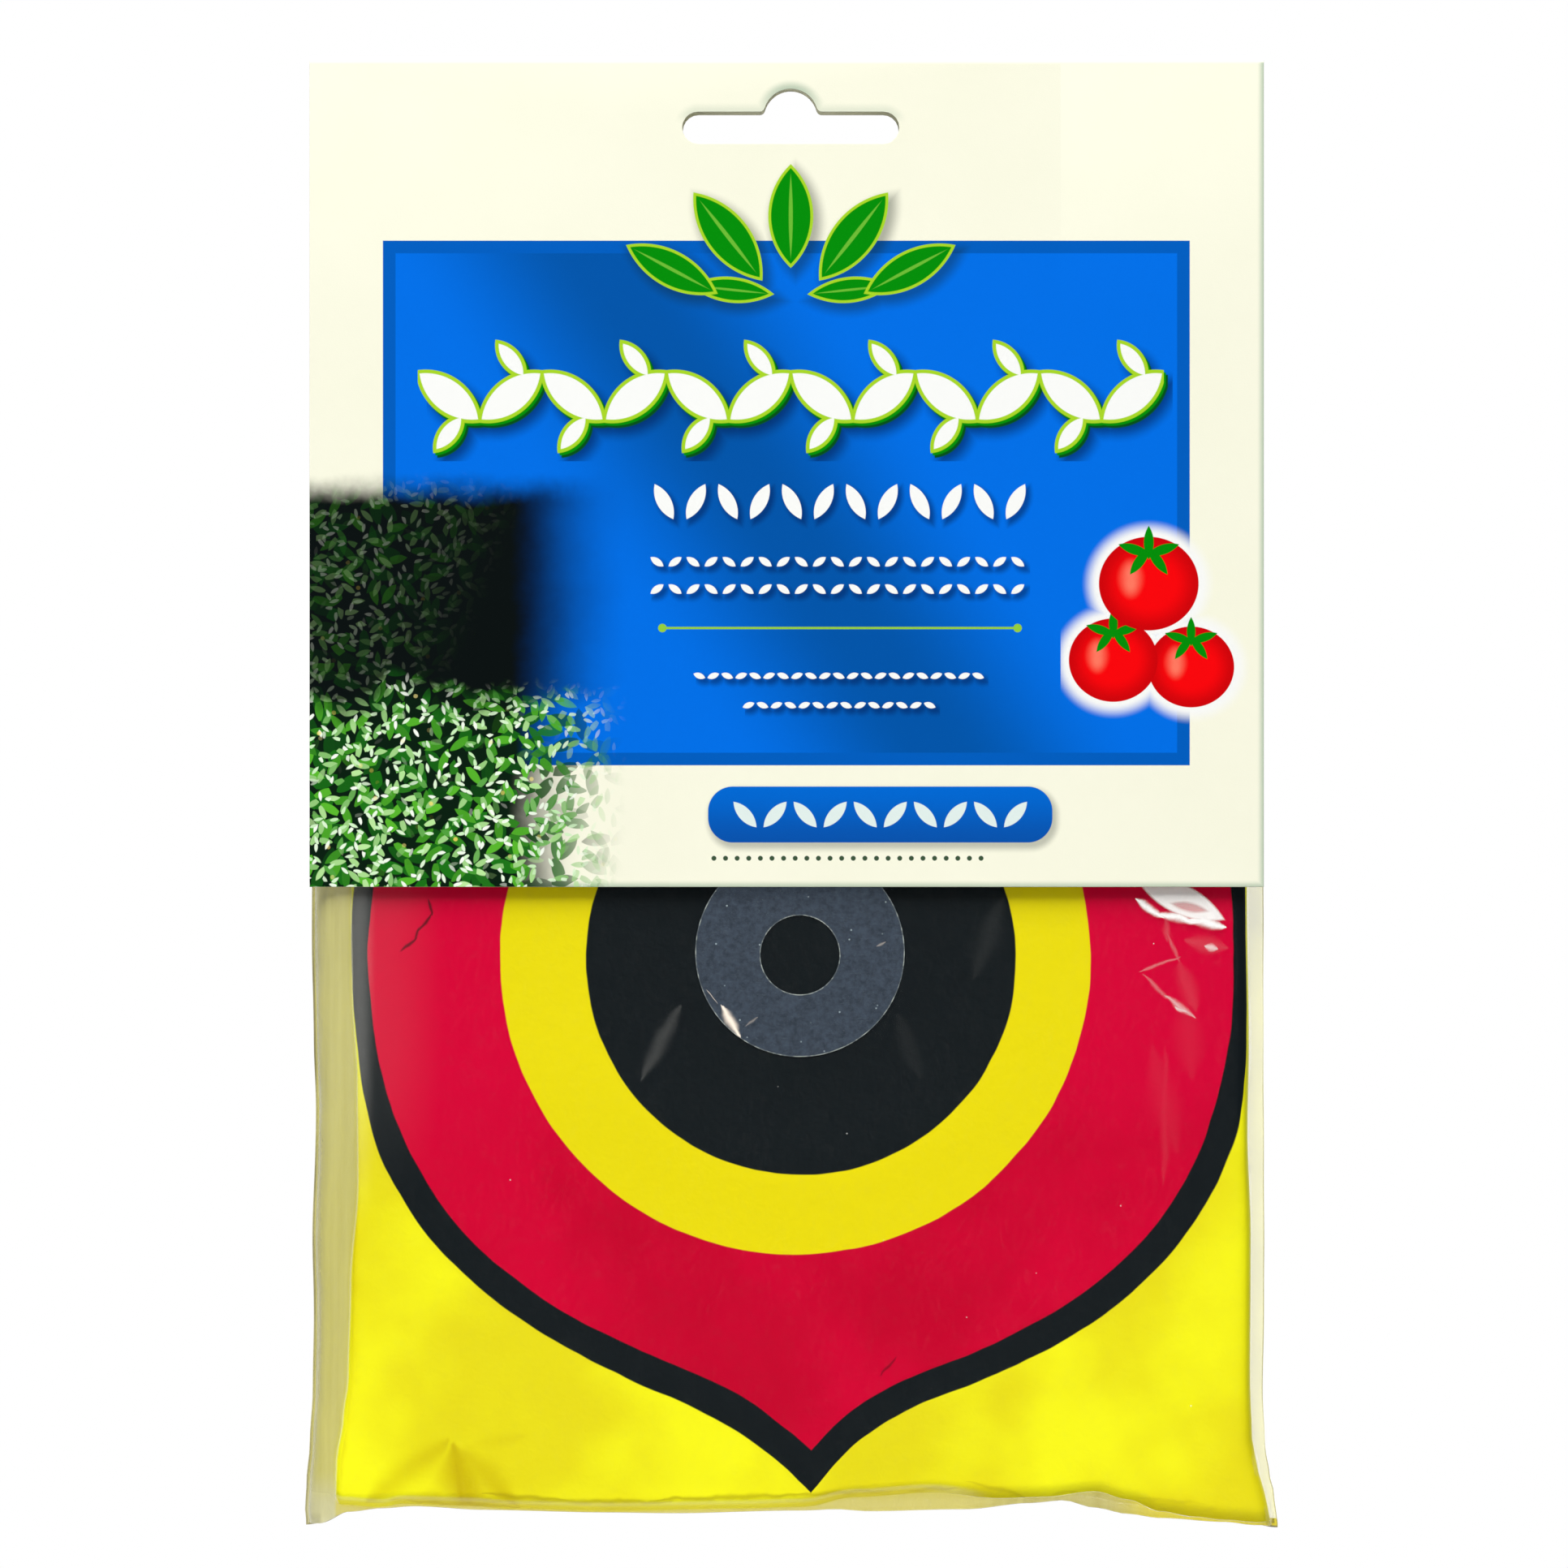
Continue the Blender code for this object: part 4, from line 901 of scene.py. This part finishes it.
# The foil's dark grey-blue is painted reflection of dark surroundings, not the silver's own colour
foil_ink = paint(between(grey, 0.25, 0.75), ink(0x29323C), ink(0x3F4A58))
foil_ink = paint(between(brushed, 0.56, 0.72, 0, 0.5), foil_ink, ink(0x4C5660))
foil_ink = paint(foil_painted_glints, foil_ink, ink(0xFFF0DE))
foil_ink = paint(flecks(spot, 0.55, 0.1, 0.04, 0.3, 0.5, 0, 0.9), foil_ink, ink(0x96A4A8))
uneven = between(speckle(place, 0.9, 5, 0.75), 0.42, 0.62, 0.15, 1.0)
# Painted highlights along the foil's outer and inner cut edges
for middle, radius, strength in ((FOIL_PLACE, FOIL_OUTER, 0.9), (HOLE_PLACE, FOIL_HOLE, 0.95)):
    off_cut = less(vectors("DISTANCE", spot, [1000 * value for value in middle]), 1000 * radius)
    foil_edge_painted_highlight = times(between(compute("ABSOLUTE", off_cut), 0.2, 0.04, 0, strength), uneven)
    foil_ink = paint(foil_edge_painted_highlight, foil_ink, ink(0xB0B8B0))
cover(shader, foil_ink, grey, 0.2, 0.3)
emboss(shader, plus(brushed, foil_painted_glints), 0.00003, 0.4)

builder = bmesh.new()
bmesh.ops.create_circle(builder, cap_ends=False, radius=FOIL_HOLE, segments=144)
rim, foil_width = builder.edges[:], FOIL_OUTER - FOIL_HOLE
radii = [FOIL_HOLE + foil_width * step / FOIL_STEPS for step in range(FOIL_STEPS + 1)]
for inner, outer in zip(radii, radii[1:]):
    grown = bmesh.ops.extrude_edge_only(builder, edges=rim)["geom"]
    rim = chosen(grown, bmesh.types.BMEdge)
    wider = (outer / inner, outer / inner, 1)
    bmesh.ops.scale(builder, verts=chosen(grown, bmesh.types.BMVert), vec=wider)
bmesh.ops.rotate(builder, verts=builder.verts[:], cent=(0, 0, 0), matrix=Matrix.Rotation(pi / 2, 3, "X"))
for vert in builder.verts:
    share = (vert.co.length - FOIL_HOLE) / foil_width
    vert.co += Vector(HOLE_PLACE).lerp(Vector(FOIL_PLACE), share)
    lift = exp(-(((vert.co.x + 0.0086) / 0.003) ** 2 + ((vert.co.z + 0.1374) / 0.004) ** 2))
    vert.co.y = FOIL_Y - 0.00009 * lift + 0.000008 * ripple(*(vert.co * 260))
outwards(builder)
bmesh.ops.solidify(builder, geom=builder.faces[:], thickness=FOIL_THICK)
outwards(builder)
front_foil = piece("front_foil_pupil", builder, silver_foil)
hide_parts("foil_pupil_1")
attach(front_foil, "pack")
for index in range(2, GORE_COUNT + 1):
    hidden = dressed(f"foil_pupil_{index}", silver_foil)

# Pole caps and hanging tab. Round patches of plain yellow vinyl are folded over the gores' ends, and a
# thicker tongue of the same film, with a pressed border, is welded on the outer one.
plain_vinyl, shader, place = finish_of("plain_vinyl", YELLOW, 0.32, 0.2)
tone = speckle(place, 0.2, 3)
cover(shader, paint(tone, ink(0xF4F01E), ink(0xE2D80E)), tone, 0.18, 0.24)
emboss(shader, speckle(place, 1.4, 3), 0.00006, 0.5)
for node, name, bevel in (
    ("pole_cap_inner", "inner_cap", 0.00005),
    ("pole_cap_outer", "outer_cap", 0.00005),
    ("hang_tab", "tab_tongue", 0.0001),
):
    made = soften(piece(name, merged_copy(node), plain_vinyl), node, bevel)
    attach(made, "pack")

# Eyelet and ring. Nickel-plated steel: the eyelet is set through the tab, and a split ring hangs in it.
# Plating varies at random between bright and duller.
plating, shader, place = finish_of("nickel_plating", ink(0xD6D4CE), 0.22)
feed(shader.inputs["Metallic"], 1.0)
wear = speckle(place, 2.2, 4, 0.6)
cover(shader, paint(wear, ink(0xDEDCD6), ink(0xB0ACA4)), wear, 0.25, 0.12)
emboss(shader, wear, 0.00001, 0.4)
for node, name, body in (("tab_eyelet", "set_eyelet", "pack"), ("hanging_ring", "split_ring", "ring")):
    made = soften(piece(name, merged_copy(node), plating), node, 0.00004, angle=40)
    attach(made, body)

# Valve and stopper. Soft clear plastic, moulded in one shot: the tube is pressed over on its flange, and
# the stopper sits in its mouth on a short tongue.
soft_clear, shader, place = finish_of("soft_clear_plastic", ink(0xE8EAE0), 0.22)
haze = speckle(place, 0.8, 3)
cover(shader, paint(haze, ink(0xECEEE4), ink(0xD6D8C8)), haze, 0.2, 0.12)
feed(shader.inputs["Alpha"], scaled(haze, 0.2, 0.62))
emboss(shader, speckle(place, 2.5, 2), 0.00003, 0.4)
for node, name, body in (("inflation_valve", "pressed_valve", "pack"), ("valve_stopper", "push_stopper", "stopper")):
    made = soften(piece(name, merged_copy(node), soft_clear), node, 0.00008)
    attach(made, body)

# Pouch. One tube of clear polypropylene film, welded along both sides and the base, open at the top. It is
# creased at the packet's edges, carries painted glare and dust over the print, and is drawn down into an ear
# at each lower corner.
FILM, WELD, BASE_WELD, BASE_TURN, MOUTH = 0.00006, 0.0007, 0.0003, 0.0003, -0.014
FILM_FRONT, FILM_BACK, POUCH_MIDDLE = 0.00118, 0.01371, 0.0068
HINGE_Y, HINGE_Z, CARD_BOTTOM = 0.001975, 0.0037, -0.1168
CORNER_FRONT, CORNER_LEFT, CORNER_RIGHT = 0.0058, 0.026, 0.009
PACKET_LEFT, PACKET_RIGHT = -0.065775, 0.068275
FILM_COLUMNS, FILM_ROWS, BASE_ROWS, WELD_ROWS = 128, 120, 6, 2
SEAM_GAP, BASE_Z = 0.000035, -0.209

# The card's bow, as a parabola from the hinge through its depths over the contents and at its lower edge
BOW_TOP, BOW_TOP_Z, BOW_END, CARD_AND_TAPE = 0.010804 + 0.0029 + 0.000985, -0.0475, 0.02063, 0.000955
top_run, full_run = HINGE_Z - BOW_TOP_Z, HINGE_Z - CARD_BOTTOM
bow_curve = ((BOW_END - HINGE_Y) / full_run - (BOW_TOP - HINGE_Y) / top_run) / (full_run - top_run)
bow_slope = (BOW_TOP - HINGE_Y) / top_run - bow_curve * top_run
VALVE_X, VALVE_REACH, VALVE_SLOPE, VALVE_SWELL = -0.00093, 0.032, 0.03, 0.0059


def back_film(x, z):
    """The back film's depth: it follows the card down, then lies over the contents, the valve and the tab."""
    run = HINGE_Z - max(z, CARD_BOTTOM)
    under_card = HINGE_Y + bow_slope * run + bow_curve * run * run - CARD_AND_TAPE
    away = hypot(x - VALVE_X, z - EYE_Z) - VALVE_REACH
    swell = VALVE_SWELL * cos(pi / 2 * min(max(away / VALVE_SLOPE, 0.0), 1.0)) ** 2
    crumple = 0.00022 * ripple(x * 70, 9.3, z * 50) - 0.00012
    return min(under_card, FILM_BACK + swell) + crumple * smooth(-z, 0.118, 0.135)


def front_film(x, z):
    """The front film's depth: flat under the card, and slack over the packet below it."""
    slack = 0.00012 * ripple(x * 60, 1.7, z * 60) + 0.00016 * ripple(x * 150 + z * 90, 5.5, z * 60)
    return FILM_FRONT - bulge_forward(x, z) - smooth(-z, 0.118, 0.128) * max(0.00016 + slack, 0.0)


def film_point(side, share, row):
    """A point of the film, and its distances in millimetres from the welds, the packet's sides and the base.

    Side 0 is the front and 1 the back; share runs from left to right, and row downwards.
    """
    x_share = share - 0.6 * sin(2 * pi * share) / (2 * pi)
    down = min(row / FILM_ROWS, 1.0)
    guess = MOUTH + (BASE_Z - MOUTH) * down
    left, right = film_left(guess), film_right(guess)
    x = left + (right - left) * x_share
    floor = film_bottom(x) + BASE_WELD + BASE_TURN
    z = MOUTH + (floor - MOUTH) * down
    close = 1.0
    if row > FILM_ROWS:
        angle = pi / 2 * min((row - FILM_ROWS) / BASE_ROWS, 1.0)
        close = cos(angle)
        z -= BASE_TURN * sin(angle) + BASE_WELD * max(row - FILM_ROWS - BASE_ROWS, 0) / WELD_ROWS
    weld = WELD * (1 + 0.25 * ripple(0, 2.2, z * 160))
    packet_right = PACKET_RIGHT + right_shift(z)
    from_left, from_right = x - left - weld, min(right - 0.0004, packet_right + 0.0002) - x
    outside = (PACKET_LEFT + left_shift(z) - x, x - packet_right)
    sway = 0.0005 * ripple(0.3, 4.4, z * 38) + 0.00025 * sin(z * 420)
    middle = POUCH_MIDDLE + sway * smooth(abs(x), 0.062, 0.07)
    corner_left = CORNER_LEFT if side else CORNER_FRONT
    corner_right = CORNER_RIGHT if side else CORNER_FRONT
    into = max(1 - from_left / corner_left, 1 - from_right / corner_right, 0.0)
    bend = 2 if side else 3.2
    swell = max(1 - into**bend, 0.0) ** (1 / bend) * close
    flute = 0.0001 * sin(x * 3300 + 2.5 * sin(z * 55)) * smooth(abs(x), 0.0655, 0.067)
    if side:
        full = back_film(x, z) - middle
        y = middle + max(swell * (full + flute * swell), SEAM_GAP)
    else:
        full = middle - front_film(x, z)
        y = middle - max(swell * (full + flute * swell), SEAM_GAP)
    if share in (0, 1) or row == FILM_ROWS + BASE_ROWS + WELD_ROWS:
        y = middle
    above = (z - film_bottom(x), z - EYE_Z + BALLOON_WIDTH / 2 - lower_edge(x))
    pairs = ((x - left, right - x), outside, above)
    return Vector((x, y, z)), *(tuple(1000 * value for value in pair) for pair in pairs)


rows = FILM_ROWS + BASE_ROWS + WELD_ROWS
builder = bmesh.new()
bmesh.ops.create_grid(builder, x_segments=2 * FILM_COLUMNS, y_segments=rows, size=1)
distances = [builder.loops.layers.uv.new(label) for label in ("Weld", "Packet", "Base")]
for vert in builder.verts:
    column = round((vert.co.x + 1) * FILM_COLUMNS)
    row_index = round((1 - vert.co.y) / 2 * rows)
    side = int(column > FILM_COLUMNS)
    share = 2 - column / FILM_COLUMNS if side else column / FILM_COLUMNS
    vert.co, *found = film_point(side, share, row_index)
    for loop in vert.link_loops:
        for layer, pair in zip(distances, found):
            loop[layer].uv = pair
bmesh.ops.remove_doubles(builder, verts=builder.verts[:], dist=0.0000005)
outwards(builder)

clear_film, shader, place = finish_of("clear_film", ink(0xF6F6EE), 0.16, 0.25)
spot = flattened(place)
x_mm, y_mm, z_mm = (split(place)[axis] for axis in "XYZ")
inset, beyond, above = (split(stored(label)) for label in ("Weld", "Packet", "Base"))
left_margin, right_margin = between(beyond["X"], -0.7, -0.2), between(beyond["Y"], -1.0, -0.5)
bands = speckle(vectors("MULTIPLY", spot, (1, 1, 0.05)), 0.7, 2)
crinkle = speckle(vectors("MULTIPLY", spot, (1, 1, 0.35)), 0.55, 4, 0.6, 1.2)
crinkle_edge = between(compute("ABSOLUTE", less(crinkle, 0.5)), 0.02, 0.0)

# Painted highlights: glare along creases and scratches, a painted haze of reflection over the left side, one
# glare patch round an island, and real dust
painted_glare_streaks = creases(
    spot,
    (1400, 1108, 1434, 1130, 0.75, 1.0), (1424, 1125, 1480, 1137, 0.75, 1.0),
    (1466, 1132, 1512, 1142, 1.0, 1.0), (1484, 1165, 1500, 1169, 0.8, 0.4),
    (1462, 1160, 1512, 1168, 2.0, 0.025), (1404, 1197, 1456, 1180, 0.4, 0.1),
    (1436, 1130, 1438, 1160, 0.8, 0.03), (1438, 1150, 1454, 1186, 0.5, 0.06),
    (1408, 1200, 1446, 1236, 0.5, 0.08), (1436, 1226, 1474, 1256, 0.7, 0.25),
    (1448, 1240, 1464, 1248, 0.5, 0.4), (1454, 1186, 1474, 1246, 2.4, 0.016),
    (1460, 1230, 1470, 1330, 4.0, 0.007), (1420, 1290, 1450, 1420, 4.0, 0.007),
    (1438, 1290, 1434, 1460, 1.4, 0.01), (838, 1240, 790, 1330, 2.0, 0.025), (826, 1262, 796, 1318, 1.0, 0.02),
    (1236, 1105, 1200, 1205, 3.4, 0.008), (1106, 1250, 1134, 1330, 3.0, 0.006),
)
painted_haze = plus(between(x_mm, -60.6, -63.2, 0, 0.055), between(x_mm, -48, -61, 0, 0.012))
glare_patch = shape(leaf_shape, spot, photo_mm(1455, 1108), radians(-25), 7.0, 2.1)
island = shape(leaf_shape, spot, photo_mm(1466, 1118), radians(-12), 2.6, 0.6)
glare_patch = times(inked(glare_patch, 0, 0.5), between(island, -0.2, 0.4, 0.25, 0.8))
dust = flecks(spot, 0.22, 0.03, 0.015, 0.5, 0.7, 0, 0.4)
# Painted glare and haze, together with real dust
film_painted_glare_and_dust = most(painted_glare_streaks, times(painted_haze, between(z_mm, -170, -138)), glare_patch, dust)
film_painted_glare_and_dust = times(film_painted_glare_and_dust, between(y_mm, 4.2, 3.2))

# The film shows where it is double: at the welds, beside the packet and in the pocket below it. There its
# khaki and yellow tints are painted shade and painted yellow light from the packet, and a dark painted line
# runs along its edges
weld = most(between(inset["X"], 0.8, 0.5, 0, 0.7), between(inset["Y"], 0.8, 0.5, 0, 0.25))
rim = least(inset["X"], plus(inset["Y"], 0.2), plus(above["X"], 0.05))
rim = times(between(rim, 0.4, 0.15), between(bands, 0.35, 0.6, 0.4, 1.0))
pocket = between(above["Y"], 0.4, 0.2)
skirt = times(between(above["Y"], 1.7, 0.7), between(x_mm, 30, 18), less(1.0, left_margin))
pocket_painted_light = paint(bands, ink(0xB2A64C), ink(0xD6CC7A))
pocket_painted_light = paint(between(x_mm, 36, 24, 0, 0.8), pocket_painted_light, ink(0xD8CC64))
pocket_painted_light = paint(between(x_mm, 46, 54), pocket_painted_light, ink(0xDECE28))
margin_painted_light = paint(bands, ink(0xBCB44E), ink(0xCEC770))
margin_painted_light = paint(between(z_mm, -202, -208, 0, 0.8), margin_painted_light, ink(0xCECAA0))
# Painted light on the film: pale yellow beside the packet's right side, yellow and khaki below it and beside its left
# side, a dark line at the film's edges, and white glare
tint = ink(0xF7F7F0)
for mask, colour in (
    (right_margin, ink(0xFFF860)),
    (skirt, ink(0xECDA54)),
    (pocket, pocket_painted_light),
    (left_margin, margin_painted_light),
    (rim, ink(0x8E8658)),
    (film_painted_glare_and_dust, ink(0xFFFFFC)),
):
    tint = paint(mask, tint, colour)
alpha = scaled(crinkle_edge, 0.004, 0.0015)
for mask, strength in (
    (left_margin, scaled(bands, 0.2, 0.42)),
    (right_margin, 0.13),
    (weld, 0.4),
    (skirt, 0.2),
    (pocket, 0.6),
    (rim, 0.7),
    (film_painted_glare_and_dust, 1.0),
):
    alpha = most(alpha, times(mask, strength), clamp=True)
# Thin film scatters light forwards, so it hardly shades what lies below it
seen = shader.id_data.nodes.new("ShaderNodeLightPath").outputs["Is Camera Ray"]
feed(shader.inputs["Alpha"], times(alpha, between(seen, 0, 1, 0.25, 1.0)))
cover(shader, tint, crinkle, 0.14, 0.1)
emboss(shader, crinkle, 0.0004, 0.5)
pouch = piece("film_pouch", builder, clear_film, sharp=radians(60))
wall = pouch.modifiers.new("film_thickness", "SOLIDIFY")
wall.thickness, wall.offset = FILM, 0
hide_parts("poly_pouch")
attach(pouch, "pack")
